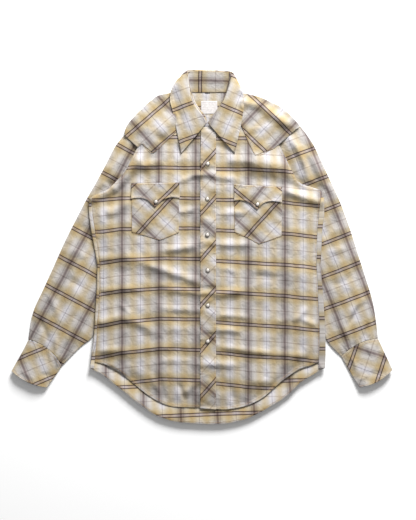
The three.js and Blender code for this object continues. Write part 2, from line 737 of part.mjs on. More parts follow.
addPiece('front_yoke_left', cutPiece('front', layerLift(2), [
  ...YOKE_EDGE_LEFT,
  ...SHOULDER_LEFT,
  ...[...NECK_LEFT].reverse().slice(0, 3),
]));

addPiece('placket', cutPiece('front', layerLift(2), [
  { x: PLACKET_EDGE_X, y: -386 },
  { x: PLACKET_SEAM_X, y: -389 },
  { x: PLACKET_SEAM_X, y: -60 },
  { x: PLACKET_SEAM_X, y: FRONT_TOP_Y },
  { x: PLACKET_EDGE_X + 2, y: FRONT_TOP_Y },
  { x: PLACKET_EDGE_X, y: 200 },
]));

addPiece('pocket_right', cutPiece('front', layerLift(1), POCKET_RIGHT));
addPiece('pocket_left', cutPiece('front', layerLift(2), POCKET_LEFT));
addPiece('flap_right', cutPiece('front', layerLift(2), FLAP_RIGHT));
addPiece('flap_left', cutPiece('front', layerLift(3), FLAP_LEFT));
addPiece('label', cutPiece('back', layerLift(1), LABEL_CORNERS, 1), { color: LABEL });
addPiece('size_tag', cutPiece('back', layerLift(1), SIZE_TAG_CORNERS, 1), { color: 0x55535a });

/** Height of a sleeve: flat where the body lies on it, puffed up beyond the body's edge. */
function sleeveHeight(x, y, share, row) {
  const covered = isInside(x, y, BODY_OUTLINE);
  const away = covered ? 0 : Math.min(...COVER_LINES.map((line) => (
    chainDistance(x, y, line, false))));
  const free = ease((away - PUFF_MARGIN) / PUFF_BLEND);
  const round = mix(0.55, 1, ease(Math.min(share, 1 - share) / 0.16));
  return Math.max(SLEEVE_UNDER, mix(SLEEVE_UNDER, row.puff * round, free));
}

addPiece('sleeve_right', flatTube(smoothRows(SLEEVE_RIGHT, 19), WALL, sleeveHeight));
addPiece('sleeve_left', flatTube(smoothRows(SLEEVE_LEFT, 19), WALL, sleeveHeight));

const cuffHeight = (x, y, share, row) => (
  row.height * mix(0.62, 1, ease(Math.min(share, 1 - share) / 0.2))
);
addPiece('cuff_right', flatTube(smoothRows(CUFF_RIGHT, 5), CUFF_WALL, cuffHeight));
addPiece('cuff_left', flatTube(smoothRows(CUFF_LEFT, 5), CUFF_WALL, cuffHeight));

/** The collar's leaf: rolled over the stand, on the yokes in front, folded under behind. */
function collarLeaf() {
  const rows = smoothRows(LEAF, 34);
  const grid = rows.map((row) => {
    const roll = new THREE.Vector3(row.rollX, row.rollY, row.rollZ);
    const bend = new THREE.Vector3(row.bendX, row.bendY, row.bendZ);
    const edge = new THREE.Vector3(row.edgeX, row.edgeY, row.edgeZ);
    const curve = new THREE.CatmullRomCurve3([roll, bend, edge], false, 'centripetal');
    return curve.getPoints(6).map((p) => p.toArray());
  });
  return outwards(shell(grid, COLLAR_WALL));
}

addPiece('collar_leaf', collarLeaf());

function collarStand() {
  const rows = smoothRows(STAND, 30);
  const grid = rows.map((row) => [0, 0.33, 0.67, 1].map((t) => [
    mix(row.seamX, row.topX, t),
    mix(row.seamY, row.topY, t),
    mix(row.seamZ, row.topZ, t) + Math.sin(Math.PI * t) * 0.3,
  ]));
  return outwards(shell(grid, STAND_WALL));
}

addPiece('collar_stand', collarStand());

/** A press snap: a thin metal ring round a domed pearl cap. */
function snapGeometry() {
  const profile = [
    [0, 0], [SNAP_RADIUS - 0.4, 0], [SNAP_RADIUS, 0.5], [SNAP_RADIUS - 0.3, 1.2],
    [SNAP_CAP_RADIUS, 1.5], [SNAP_CAP_RADIUS - 0.5, 2.4], [SNAP_CAP_RADIUS * 0.5, 3],
    [0, SNAP_HEIGHT],
  ].map(([r, z]) => new THREE.Vector2(r, z));
  const lathe = new THREE.LatheGeometry(profile, SNAP_SIDES);
  lathe.rotateX(Math.PI / 2);
  const bare = lathe.clone();
  bare.deleteAttribute('normal');
  bare.deleteAttribute('uv');
  const merged = mergeVertices(bare, 1e-4);
  const kept = [];
  const index = merged.getIndex().array;
  for (let k = 0; k < index.length; k += 3) {
    const [a, b, c] = [index[k], index[k + 1], index[k + 2]];
    if (a !== b && b !== c && a !== c) kept.push(a, b, c);
  }
  merged.setIndex(kept);
  return outwards(merged);
}

for (const snap of SNAPS) {
  const rim = [];
  for (let k = 0; k < 12; k += 1) {
    const angle = (k / 12) * 2 * Math.PI;
    rim.push(surfaceAt('front', snap.x + SNAP_RADIUS * Math.cos(angle),
      snap.y + SNAP_RADIUS * Math.sin(angle)));
  }
  rim.push(surfaceAt('front', snap.x, snap.y));
  const mesh = addPiece(snap.name, snapGeometry(), {
    color: PEARL, roughness: 0.25, metalness: 0.1,
  });
  mesh.position.set(snap.x, snap.y, Math.max(...rim) + layerLift(snap.layer) + GAP * 0.5);
}

export default shirt;
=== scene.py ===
"""A western snap shirt in washed plaid cotton, closed and laid face up on a pale table.

Tables are in millimetres and are turned to metres as they are read. X runs across the laid
shirt, Y from the hem to the collar, Z up from the table. Names use the wearer's right and
left, so the right side is at -X.
"""

import logging
import math
from dataclasses import dataclass, field
from enum import Enum
from typing import Callable, Sequence

import bmesh
import bpy
import numpy as np
from mathutils import Matrix, Vector


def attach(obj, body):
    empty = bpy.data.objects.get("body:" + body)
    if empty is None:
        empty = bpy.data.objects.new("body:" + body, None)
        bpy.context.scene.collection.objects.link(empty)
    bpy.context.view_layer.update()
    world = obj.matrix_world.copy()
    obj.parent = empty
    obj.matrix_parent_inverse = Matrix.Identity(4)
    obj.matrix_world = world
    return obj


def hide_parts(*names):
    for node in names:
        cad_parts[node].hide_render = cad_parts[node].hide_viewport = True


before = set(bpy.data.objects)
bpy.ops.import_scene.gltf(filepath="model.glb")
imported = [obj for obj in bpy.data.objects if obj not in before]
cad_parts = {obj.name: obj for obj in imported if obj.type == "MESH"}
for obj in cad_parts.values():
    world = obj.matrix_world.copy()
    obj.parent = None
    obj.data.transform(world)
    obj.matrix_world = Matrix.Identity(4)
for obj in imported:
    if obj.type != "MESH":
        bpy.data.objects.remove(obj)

LOG = logging.getLogger("shirt")
MM = 0.001
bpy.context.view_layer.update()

Table = dict[str, np.ndarray]
Points = np.ndarray


def table(columns: str, rows: Sequence[Sequence[float]]) -> Table:
    """Turn rows of millimetres into named columns of metres.

    Args:
        columns: The column names, parted by spaces.
        rows: One row of numbers for each section or point.

    Returns:
        The columns by name, in metres.
    """
    values = np.array(rows, dtype=float) * MM
    return {name: values[:, i] for i, name in enumerate(columns.split())}


def chain(rows: Table, x: str = "x", y: str = "y") -> Points:
    """Read two columns of a table as a chain of points."""
    return np.stack([rows[x], rows[y]], axis=1)


# Layers of cloth, the air under them, and how far each change of height reaches.
WALL = 1.2 * MM
LAYER = 1.5 * MM
BODY_HOLLOW = 5.4 * MM
EDGE_HOLLOW = 0.8 * MM
HOLLOW_BLEND = 50 * MM
FOLD_BLEND = 20 * MM
BODY_OVER_SLEEVE = 5.0 * MM
SLEEVE_UNDER = 4.4 * MM
COVER_MARGIN = 34 * MM
COVER_BLEND = 90 * MM
PUFF_MARGIN = 12 * MM
PUFF_BLEND = 42 * MM
ARMHOLE_BLEND = 18 * MM
HEM_LIFT = 9.0 * MM
HEM_BLEND = 42 * MM
HUGGED = 0.8
ARMPIT_Y = 118 * MM
BACK_YOKE_SEAM_Y = 214 * MM
# What the heights and widths in the tables of folds and creases are multiplied by.
FOLD_HEIGHT = 1.5
FOLD_WIDTH = 0.85
CREASE_HEIGHT = 2.5
# Shares of the folds and of the dents that are left at the body's edge.
EDGE_FOLDS = 0.5
EDGE_DENTS = 0.3
# The least air under the fronts, as a share of the edge's, and how softly it is reached.
LEAST_AIR = 0.7
LEAST_SOFTNESS = 0.5 * MM
# A turned hem's extra height, and how far a sewn edge rolls down.
TURNED_HEIGHT = 0.5 * MM
TURNED_REACH = 8 * MM
TURNED_BLEND = 4 * MM
ROLL_DROP = 1.4 * MM
ROLL_REACH = 7 * MM
PLACKET_EDGE_X = -4 * MM
PLACKET_SEAM_X = 33.5 * MM
UNDERLAP_X = 30 * MM
FRONT_TOP_Y = 287 * MM

SIDES = table("y right_fold right_seam left_seam left_fold", [
    (-290, -268, -258, 279, 294),
    (-280, -267, -257.5, 279.4, 294.8),
    (-259, -265, -256, 280, 296),
    (-223, -260, -253, 282, 296),
    (-175, -257, -251, 281, 294),
    (-127, -254, -247, 278, 291),
    (-91, -252, -246, 277, 288),
    (-43, -251, -245, 274, 284),
    (-7, -257, -250, 275, 286),
    (41, -266, -257, 276, 288),
    (77, -271, -263, 280, 293),
    (100, -272, -265, 282, 293),
    (118, -269, -264, 284, 292.5),
])
FRONT_HEM = table("x y", [
    (-256.5, -276), (-233, -281), (-216, -289), (-197, -301), (-178, -316), (-154, -336),
    (-125, -358), (-101, -372), (-72, -382), (-41, -384), (-5, -385), (34, -388), (58, -389),
    (91, -384), (115, -377), (144, -362), (163, -347), (187, -325), (211, -307), (235, -292),
    (259, -284), (279, -276),
])
BACK_HEM = table("x y", [
    (-268, -290), (-245, -302), (-221, -319), (-197, -338), (-173, -358), (-149, -377),
    (-125, -394), (-101, -407), (-77, -415), (-53, -420), (-5, -423), (19, -424), (43, -424),
    (67, -421), (91, -416), (115, -408), (139, -396), (163, -382), (187, -368), (211, -350),
    (235, -324), (259, -310), (283, -295), (294, -290),
])
ARMHOLE_RIGHT = table("x y", [
    (-267, 119.6), (-250, 127), (-225, 138), (-203, 159), (-184, 181), (-172, 203),
    (-163, 222), (-154, 239.2),
])
ARMHOLE_LEFT = table("x y", [
    (290, 120), (288, 132), (281, 137), (264, 143), (240, 150), (227, 160), (218, 177),
    (208, 196), (199, 216), (184, 245),
])
SHOULDER_RIGHT = table("x y", [
    (-185, 266.8), (-182, 286), (-173, 300), (-161, 314), (-146, 329), (-132, 343),
    (-116, 356), (-103, 364), (-78, 369), (-52, 373),
])
SHOULDER_LEFT = table("x y", [
    (234.4, 290.2), (226, 300), (211, 316), (187, 336), (163, 348), (142, 358), (113, 366),
    (92, 370), (80, 373),
])
NECK_RIGHT = table("x y", [(-40, 370), (-37, 343), (-26, 320), (-8, 300), (0, 287)])
NECK_LEFT = table("x y", [(33, 287), (38, 302), (51, 322), (61, 343), (70, 370)])
YOKE_EDGE_RIGHT = table("x y", [(-58, 279), (-116, 224), (-144, 247), (-154, 239.2)])
YOKE_EDGE_LEFT = table("x y", [(94, 289), (127, 219), (170, 234), (184, 245)])
POCKET_RIGHT = table("x y", [
    (-168, 146), (-168, 36), (-134, 26), (-101, 16), (-56, 34), (-54, 146),
])
POCKET_LEFT = table("x y", [
    (77, 144), (78, 36), (108, 22), (137, 7), (190, 26), (192, 141),
])
FLAP_RIGHT = table("x y", [
    (-169, 152), (-170, 115), (-160, 117), (-147, 117), (-132, 113), (-122, 104), (-112, 95),
    (-103, 105), (-94, 112), (-80, 118), (-66, 119), (-53, 117), (-54, 154),
])
FLAP_LEFT = table("x y", [
    (77, 150), (77, 111), (89, 112), (101, 110), (115, 104), (124, 96), (132, 89),
    (139, 98), (148, 105), (160, 109), (175, 109), (191, 106), (192, 143),
])
LABEL_CORNERS = table("x y", [(-2, 319), (37, 320), (36.5, 350.5), (-2, 350)])
SIZE_TAG_CORNERS = table("x y", [(7, 368.4), (19, 368), (19, 378.4), (7, 378.8)])

SLEEVE_COLUMNS = "outer_x outer_y inner_x inner_y puff bow"
SLEEVE_RIGHT = table(SLEEVE_COLUMNS, [
    (-187, 268, -140, 226, 7.4, 0),
    (-209, 240, -149, 197, 7.8, 0),
    (-230, 199, -158, 156, 8.2, 0),
    (-252, 158, -170, 113, 8.6, 0),
    (-275, 118, -182, 65, 9.0, 0),
    (-300, 70, -197, 17, 8.8, 0),
    (-329, 12, -214, -48, 9.2, 0),
    (-355, -46, -230, -110, 9.4, 0),
    (-380, -101, -247, -168, 9.4, 2),
    (-401, -146, -263, -215, 9.0, 5),
    (-410, -180, -292, -240, 8.2, 8),
    (-415.6, -221.5, -336, -285, 6.6, 11),
])
SLEEVE_LEFT = table(SLEEVE_COLUMNS, [
    (235, 290, 188, 248, 7.4, 0),
    (250, 271, 181, 216, 7.8, 0),
    (270, 240, 186, 185, 8.2, 0),
    (300, 176, 200, 137, 8.6, 0),
    (326, 120, 216, 77, 9.0, 0),
    (341, 82, 226, 40, 8.8, 0),
    (358, 34, 240, -10, 9.2, 0),
    (375, -20, 254, -60, 9.4, 0),
    (394, -79, 268, -115, 9.4, 1),
    (409, -130, 284, -165, 9.0, 3),
    (417, -176, 299, -223, 8.2, 6),
    (422, -219, 334, -262, 6.6, 9),
])
CUFF_RIGHT = table(SLEEVE_COLUMNS, [
    (-415.8, -221.8, -336.2, -285.4, 6.9, 11),
    (-430, -250, -348, -303, 7.5, 4),
    (-445, -277, -361, -321, 7.5, -4),
    (-456, -297, -371, -336, 7.5, -8),
])
CUFF_LEFT = table(SLEEVE_COLUMNS, [
    (422.1, -219.4, 334.2, -262.4, 6.9, 9),
    (436, -250, 351, -292, 7.5, 3),
    (448, -276, 366, -318, 7.5, -4),
    (456, -294, 377, -336, 7.5, -8),
])

# The collar's leaf from the right tip round the back to the left tip: the roll line, the
# bend of the fold and the free edge.
LEAF = table("roll_x roll_y roll_z bend_x bend_y bend_z edge_x edge_y edge_z", [
    (10, 296, 12, -20, 259, 11, -50, 224, 10),
    (1, 311, 13.4, -30, 284, 13, -56, 255, 10.4),
    (-12, 328, 14.6, -40, 308, 14.4, -62, 284, 10.8),
    (-24, 344, 15.6, -52, 336, 15.6, -71, 326, 11),
    (-30, 360, 16, -56, 357, 16, -77, 352, 11),
    (-32, 378, 16, -54, 378, 15.8, -74, 374, 11),
    (-35, 396, 14.6, -50, 400, 12, -62, 397, 7),
    (-36, 410, 12.2, -46, 413, 8.6, -48, 406, 3.4),
    (-31, 418, 8.4, -34, 421.4, 5.6, -30, 396, 2.2),
    (-8, 418.6, 7, -8, 421.4, 4.8, -8, 385, 1.8),
    (20, 418, 6.8, 20, 420.8, 4.6, 20, 384, 1.6),
    (46, 416.6, 7, 46, 419.4, 4.8, 46, 385, 1.8),
    (67, 414.6, 8.4, 71, 417.4, 5.6, 64, 396, 2.2),
    (71, 404, 13, 81, 404, 9.4, 80, 400, 3.8),
    (68, 388, 15.6, 84, 390, 13.4, 92, 384, 8.4),
    (62, 370, 17, 82, 371, 17, 99, 366, 12),
    (56, 354, 17, 80, 350, 17, 101, 344, 12),
    (48, 340, 16.6, 74, 328, 16, 97, 312, 11.6),
    (34, 320, 15.6, 64, 298, 14.4, 92, 286, 10.8),
    (23, 305, 14.2, 55, 274, 13.2, 85, 254, 11.6),
    (15, 296, 12.6, 47, 259, 12.4, 78.5, 224, 11.8),
])
STAND = table("seam_x seam_y seam_z top_x top_y top_z", [
    (11.6, 303, 4.8, 10.6, 299.5, 8.6),
    (6, 316, 5, 1, 314.5, 10),
    (-6, 331, 5, -11, 330, 11),
    (-15, 345, 4.6, -21, 345, 12),
    (-20, 358, 3.6, -27, 360, 12.4),
    (-23, 365, 2.6, -30, 378, 12.4),
    (-25, 369.4, 2, -33, 396, 12),
    (-26, 371, 2, -34.5, 412, 11),
    (-24, 371.6, 2, -33, 422.6, 9.4),
    (-8, 371.2, 2, -12, 422.2, 8.6),
    (20, 371, 2, 20, 421.4, 8.2),
    (42, 371, 2, 46, 420, 8.4),
    (56, 371, 2, 69.5, 417.4, 9.4),
    (58, 369.6, 2, 69, 404, 11.6),
    (57, 364, 2.6, 66, 389, 12.8),
    (53, 356, 3.4, 60, 371, 13.6),
    (46, 344, 4.4, 53, 355, 13.8),
    (38, 332, 4.8, 45, 341, 13),
    (27, 318, 5, 32, 322, 12),
    (16.6, 305, 5, 20, 308.5, 10.4),
])

# The main folds of the laid cloth: the two ends of each one's line, its half width and its
# height. A negative height is a trough.
FOLDS = table("x1 y1 x2 y2 width height", [
    (-156, 206, -210, 144, 17, 8.4),
    (-214, 144, -266, 118, 15, 8.4),
    (-140, 172, -222, 104, 20, -3.4),
    (76, 206, 132, 203, 16, 4.6),
    (132, 202, 196, 190, 23, 6.2),
    (196, 190, 242, 160, 18, 5.6),
    (120, 166, 232, 138, 15, -2.2),
    (206, 133, 288, 105, 13, 5),
    (-252, -29, -182, -24, 12, 2.4),
    (-182, -24, -124, -44, 14, 2.6),
    (-120, -46, -18, -80, 12, 3.6),
    (-206, -62, -130, -72, 16, -1.4),
    (196, -56, 246, -66, 26, 2.2),
    (104, 346, 140, 337, 14, 5),
    (140, 337, 196, 298, 14, 5.4),
])

# Creases on the laid fronts: start, bend and end, with each one's half width and
# height. A negative height is a trough.
CREASE_COLUMNS = "x1 y1 xm ym x2 y2 width height"
FRONT_CREASES = table(CREASE_COLUMNS, [
    (-166, 196, -132, 184, -92, 212, 10, 1.5),
    (-158, 206, -132, 228, -104, 242, 10, 1.0),
    (-172, 223, -150, 248, -130, 260, 11, 1.3),
    (-60, 326, -80, 298, -104, 256, 15, 3.4),
    (-238, 78, -208, 80, -170, 116, 12, 2.1),
    (-58, 148, -40, 170, 6, 175, 8, 1.9),
    (-28, 174, 34, 172, 96, 158, 9, 1.6),
    (8, 142, 44, 136, 78, 147, 8, 0.7),
    (-64, 82, -36, 86, -8, 93, 8, 1.4),
    (38, 82, 72, 80, 112, 83, 9, 1.6),
    (-96, -9, -46, -5, -4, 7, 10, 2.4),
    (24, 6, 74, 4, 126, 7, 10, 2.3),
    (28, -46, 60, -54, 96, -65, 8, 0.9),
    (100, -60, 140, -52, 190, -58, 14, 1.2),
    (-252, -106, -196, -96, -140, -102, 9, 1.5),
    (-116, -92, -96, -91, -74, -92, 6, 0.6),
    (-104, -104, -44, -102, 26, -118, 8, 1.5),
    (16, -116, 60, -110, 110, -106, 10, 2.6),
    (-264, -182, -226, -180, -186, -166, 12, 2.6),
    (-200, -168, -160, -174, -106, -206, 11, 2.0),
    (-198, -136, -184, -146, -166, -166, 6, 1.0),
    (-108, -148, -44, -148, 22, -156, 9, 1.3),
    (30, -164, 70, -162, 114, -169, 8, 1.6),
    (176, -182, 192, -176, 210, -172, 7, 0.8),
    (212, -180, 238, -168, 250, -138, 8, 1.4),
    (234, -170, 256, -180, 278, -190, 7, 1.3),
    (27, -200, 60, -196, 100, -204, 8, 2.3),
    (-96, -196, -50, -194, -6, -200, 9, 0.7),
    (27, -236, 84, -246, 182, -256, 8, 1.8),
    (170, -254, 210, -258, 254, -262, 8, 0.8),
    (-260, -252, -214, -244, -160, -250, 10, 1.9),
    (-166, -246, -110, -240, -50, -244, 9, 0.7),
    (-20, -282, 40, -279, 100, -284, 9, 1.7),
    (-122, -278, -76, -268, -18, -274, 8, 0.8),
    (-234, -277, -196, -284, -172, -313, 7, 1.1),
    (4, -312, -18, -328, -50, -358, 9, 1.6),
    (-62, -318, -50, -340, -34, -380, 6, -0.9),
    (-98, -316, -94, -344, -92, -374, 6, -0.9),
    (64, -326, 72, -350, 76, -374, 7, -0.9),
    (-130, -300, -112, -322, -104, -352, 6, 0.7),
    (110, -324, 140, -318, 178, -326, 9, 0.9),
    (112, -64, 142, -76, 200, -72, 8, -0.7),
    (128, 60, 156, 84, 182, 112, 9, 0.7),
    (212, 60, 224, 20, 220, -30, 10, 0.9),
    (-200, 56, -190, 16, -198, -20, 11, 0.7),
    (244, 80, 252, 40, 246, 0, 8, -0.6),
    (-232, 40, -224, 16, -230, -14, 8, 0.6),
    (-72, 240, -40, 226, -8, 236, 14, -1.2),
    (28, 246, 44, 238, 64, 236, 11, -1.0),
    (104, 272, 122, 286, 152, 282, 8, 0.8),
])

SLEEVE_CREASES = table(CREASE_COLUMNS, [
    (-268, 68, -300, 2, -342, -62, 3, 0.5),
    (202, 266, 246, 226, 254, 160, 9, 2.8),
    (238, 238, 268, 214, 294, 146, 9, 2.2),
    (-176, 226, -200, 200, -236, 176, 9, 0.9),
    (-236, 168, -216, 140, -186, 126, 7, -0.8),
    (-262, 118, -236, 98, -214, 62, 8, 0.9),
    (-300, 56, -276, 40, -262, 8, 9, -0.9),
    (-322, -6, -300, -10, -270, -30, 8, 0.9),
    (-330, -70, -306, -90, -276, -96, 8, -0.8),
    (-372, -110, -352, -136, -344, -170, 8, 1.0),
    (-300, -150, -316, -186, -330, -214, 8, -0.9),
    (-392, -170, -376, -196, -366, -232, 6, -0.9),
    (-352, -214, -346, -236, -352, -262, 5, 1.0),
    (-318, -226, -330, -244, -338, -262, 5, -1.0),
    (262, 220, 248, 190, 224, 172, 7, -0.8),
    (300, 140, 276, 120, 262, 88, 8, 0.9),
    (330, 70, 306, 52, 288, 16, 9, -0.9),
    (352, 0, 330, -8, 296, -12, 8, 0.9),
    (366, -60, 346, -86, 306, -92, 8, -0.9),
    (398, -120, 372, -130, 352, -170, 8, 1.0),
    (376, -138, 366, -166, 350, -190, 5, -1.3),
    (326, -170, 340, -196, 352, -226, 7, 0.9),
    (404, -176, 392, -200, 388, -226, 5, -1.1),
    (372, -190, 366, -212, 372, -234, 5, 1.0),
])

CUFF_CREASES = table(CREASE_COLUMNS, [
    (-352, -256, -344, -272, -346, -290, 4, 1.2),
    (-372, -254, -368, -268, -372, -282, 4, -0.8),
    (-392, -240, -392, -252, -400, -266, 4, 0.7),
    (-388, -300, -376, -312, -358, -306, 6, -0.7),
    (-440, -290, -424, -304, -408, -312, 5, 0.6),
    (400, -232, 398, -246, 404, -260, 4, 1.0),
    (420, -236, 418, -248, 424, -262, 4, -0.8),
    (356, -262, 366, -274, 368, -290, 4, 0.9),
    (396, -300, 414, -308, 436, -300, 6, -0.8),
    (376, -322, 384, -310, 400, -306, 5, 0.7),
])


def ease(t: np.ndarray) -> np.ndarray:
    """Step smoothly from 0 to 1."""
    s = np.clip(t, 0.0, 1.0)
    return s * s * (3 - 2 * s)


def look_up(rows: Table, key: str, column: str, value: np.ndarray) -> np.ndarray:
    """Read a column of a table at values of another one, in straight steps."""
    order = np.argsort(rows[key])
    return np.interp(value, rows[key][order], rows[column][order])


@dataclass
class Nearest:
    """What is nearest to each of many points on a chain.

    Attributes:
        distance: The distance to the chain.
        foot: The nearest points of the chain.
        run: How far along the chain they are.
    """

    distance: np.ndarray
    foot: np.ndarray
    run: np.ndarray


def nearest_on(points: Points, line: Points, closed: bool = False) -> Nearest:
    """Find the nearest point of a chain for each of many points.

    Args:
        points: The points, one a row.
        line: The chain's points in order.
        closed: Whether its end joins its start.

    Returns:
        The distances, the nearest points, and their places along the chain.
    """
    ends = np.roll(line, -1, axis=0) if closed else line[1:]
    starts = line if closed else line[:-1]
    best = np.full(len(points), np.inf)
    foot = np.zeros((len(points), 2))
    run = np.zeros(len(points))
    passed = 0.0
    for a, b in zip(starts, ends):
        step = b - a
        length = float(np.hypot(*step)) or 1e-9
        t = np.clip(((points - a) @ step) / length**2, 0, 1)
        near = a + t[:, None] * step
        distance = np.hypot(points[:, 0] - near[:, 0], points[:, 1] - near[:, 1])
        closer = distance < best
        best[closer] = distance[closer]
        foot[closer] = near[closer]
        run[closer] = passed + t[closer] * length
        passed += length
    return Nearest(best, foot, run)


def is_inside(points: Points, outline: Points) -> np.ndarray:
    """Say for each point whether it lies inside a closed outline."""
    inside = np.zeros(len(points), dtype=bool)
    x, y = points[:, 0], points[:, 1]
    for a, b in zip(outline, np.roll(outline, 1, axis=0)):
        crosses = (a[1] > y) != (b[1] > y)
        rise = b[1] - a[1] or 1e-12
        inside ^= crosses & (x < (b[0] - a[0]) * (y - a[1]) / rise + a[0])
    return inside


def distance_outside(points: Points, outline: Points) -> np.ndarray:
    """Distance from each point to an outline, and zero inside it."""
    away = nearest_on(points, outline, closed=True).distance
    return np.where(is_inside(points, outline), 0.0, away)


def smooth_rows(rows: Table, share: np.ndarray) -> Table:
    """Read every column of a table through a smooth curve.

    Args:
        rows: The table.
        share: Where to read it, from 0 at the first row to 1 at the last.

    Returns:
        The columns at those places.
    """
    count = len(next(iter(rows.values())))
    t = np.clip(share, 0, 1) * (count - 1)
    i = np.minimum(count - 2, t.astype(int))
    f = t - i
    result = {}
    for name, column in rows.items():
        a, b = column[i], column[i + 1]
        ta = (b - column[np.maximum(i - 1, 0)]) / 2
        tb = (column[np.minimum(i + 2, count - 1)] - a) / 2
        result[name] = (a * (2 * f**3 - 3 * f**2 + 1) + ta * (f**3 - 2 * f**2 + f)
                        + b * (3 * f**2 - 2 * f**3) + tb * (f**3 - f**2))
    return result


def uneven_wave(run: np.ndarray, spacing: float, phase: float = 0.0) -> np.ndarray:
    """A wave from -1 to 1 whose spacing and height change along it, as a pucker's do."""
    turn = run * (2 * math.pi / spacing) + phase
    drift = 1.9 * np.sin(turn * 0.31 + 1.3 * phase) + 0.9 * np.sin(turn * 0.117)
    return np.sin(turn + drift) * (0.62 + 0.38 * np.sin(turn * 0.23 + 0.7 * phase))


def crumple(points: Points, size: float, seed: float) -> np.ndarray:
    """Soft uneven dents of about one size, from -1 to 1."""
    x, y = points[:, 0] / size, points[:, 1] / size
    total = np.zeros(len(points))
    for k in range(5):
        angle = 1.1 + 2.4 * k + seed
        reach = 1.0 + 0.37 * k
        along = (x * math.cos(angle) + y * math.sin(angle)) * reach
        across = (y * math.cos(angle) - x * math.sin(angle)) * reach
        total += np.sin(along + 1.7 * np.sin(across * 0.63 + seed + k)) / (1 + 0.5 * k)
    return total / 2.6


@dataclass(frozen=True)
class Dents:
    """Soft uneven dents of one size.

    Attributes:
        height: Their height, in millimetres.
        size: Their size.
        seed: What shifts them.
    """

    height: float
    size: float
    seed: float

    def heights(self, points: Points) -> np.ndarray:
        """Height of the dents at points on the table, in millimetres."""
        return self.height * crumple(points, self.size, self.seed)


FRONT_DENTS = (Dents(1.3, 17 * MM, 0.4), Dents(0.6, 8 * MM, 2.1), Dents(0.2, 4 * MM, 5.2))
SLEEVE_DENTS = (Dents(1.1, 15 * MM, 1.7), Dents(0.6, 7 * MM, 0.6))


@dataclass(frozen=True)
class Relief:
    """The heights of the laid shirt's cloth, with its folds and creases."""

    sleeves: tuple[Points, ...]
    outline: Points

    def back(self, points: Points) -> np.ndarray:
        """Height of the back's underside: up over the sleeves and off the table at the hem."""
        away = np.min([distance_outside(points, s) for s in self.sleeves], axis=0)
        over = BODY_OVER_SLEEVE * ease(1 - (away - COVER_MARGIN) / COVER_BLEND)
        hem = look_up(BACK_HEM, "x", "y", points[:, 0])
        at_hem = HEM_LIFT * ease(1 - (points[:, 1] - hem) / HEM_BLEND)
        return np.maximum(over, at_hem)

    def front(self, points: Points) -> np.ndarray:
        """Height of the right front's underside, which every layer above follows."""
        inside = is_inside(points, self.outline)
        edge = np.where(inside, nearest_on(points, self.outline, closed=True).distance, 0.0)
        opened = ease(edge / HOLLOW_BLEND)
        air = EDGE_HOLLOW + (BODY_HOLLOW - EDGE_HOLLOW) * opened
        free = EDGE_FOLDS + (1 - EDGE_FOLDS) * ease(edge / FOLD_BLEND)
        fold = self.folds(points) * free
        creased = creases(points, FRONT_CREASES) * free
        soft = sum(dents.heights(points) for dents in FRONT_DENTS) * MM
        hem = look_up(FRONT_HEM, "x", "y", points[:, 0])
        hug = 1 - HUGGED * ease(1 - (points[:, 1] - hem) / HEM_BLEND)
        lift = air * hug + fold + creased + soft * (EDGE_DENTS + (1 - EDGE_DENTS) * opened)
        least = EDGE_HOLLOW * LEAST_AIR
        lift = least + np.logaddexp(0, (lift - least) / LEAST_SOFTNESS) * LEAST_SOFTNESS
        return self.back(points) + WALL + lift

    def folds(self, points: Points) -> np.ndarray:
        """Height of the main folds. The highest ridge counts, so that rows can be chained."""
        ridges, troughs = np.zeros(len(points)), np.zeros(len(points))
        for x1, y1, x2, y2, width, height in zip(*FOLDS.values()):
            line = np.array([(x1, y1), (x2, y2)])
            reach = FOLD_WIDTH * width
            bump = height * np.exp(-((nearest_on(points, line).distance / reach) ** 2))
            if height > 0:
                ridges = np.maximum(ridges, bump)
            else:
                troughs += bump
        return (ridges + troughs) * FOLD_HEIGHT


def creases(points: Points, rows: Table) -> np.ndarray:
    """Height of a table of bent creases, each dying away to its sides and its ends."""
    total = np.zeros(len(points))
    steps = np.linspace(0, 1, 7)[:, None]
    for x1, y1, xm, ym, x2, y2, width, height in zip(*rows.values()):
        start, bend, end = np.array((x1, y1)), np.array((xm, ym)), np.array((x2, y2))
        line = (1 - steps) ** 2 * start + 2 * steps * (1 - steps) * bend + steps**2 * end
        low, high = line.min(axis=0) - 3 * width, line.max(axis=0) + 3 * width
        near = np.all((points > low) & (points < high), axis=1)
        if not near.any():
            continue
        found = nearest_on(points[near], line)
        length = float(np.sum(np.hypot(*np.diff(line, axis=0).T)))
        share = found.run / length
        taper = ease(np.minimum(share, 1 - share) / 0.3) * 0.8 + 0.2
        total[near] += height * taper * np.exp(-((found.distance / width) ** 2))
    return total * CREASE_HEIGHT


def footprint(rows: Table) -> Points:
    """The outline that a sleeve covers on the table."""
    outer = chain(rows, "outer_x", "outer_y")
    inner = chain(rows, "inner_x", "inner_y")
    return np.concatenate([outer, inner[::-1]])


BODY_OUTLINE = np.concatenate([
    chain(SIDES, "right_fold", "y")[::-1],
    chain(BACK_HEM),
    chain(SIDES, "left_fold", "y"),
    chain(ARMHOLE_LEFT),
    chain(SHOULDER_LEFT),
    chain(SHOULDER_RIGHT)[::-1],
    chain(ARMHOLE_RIGHT)[::-1],
])
COVER_LINES = (
    np.concatenate([chain(SIDES, "right_fold", "y"), chain(ARMHOLE_RIGHT)]),
    np.concatenate([chain(SIDES, "left_fold", "y"), chain(ARMHOLE_LEFT)]),
)
RELIEF = Relief(sleeves=(footprint(SLEEVE_RIGHT), footprint(SLEEVE_LEFT)), outline=BODY_OUTLINE)


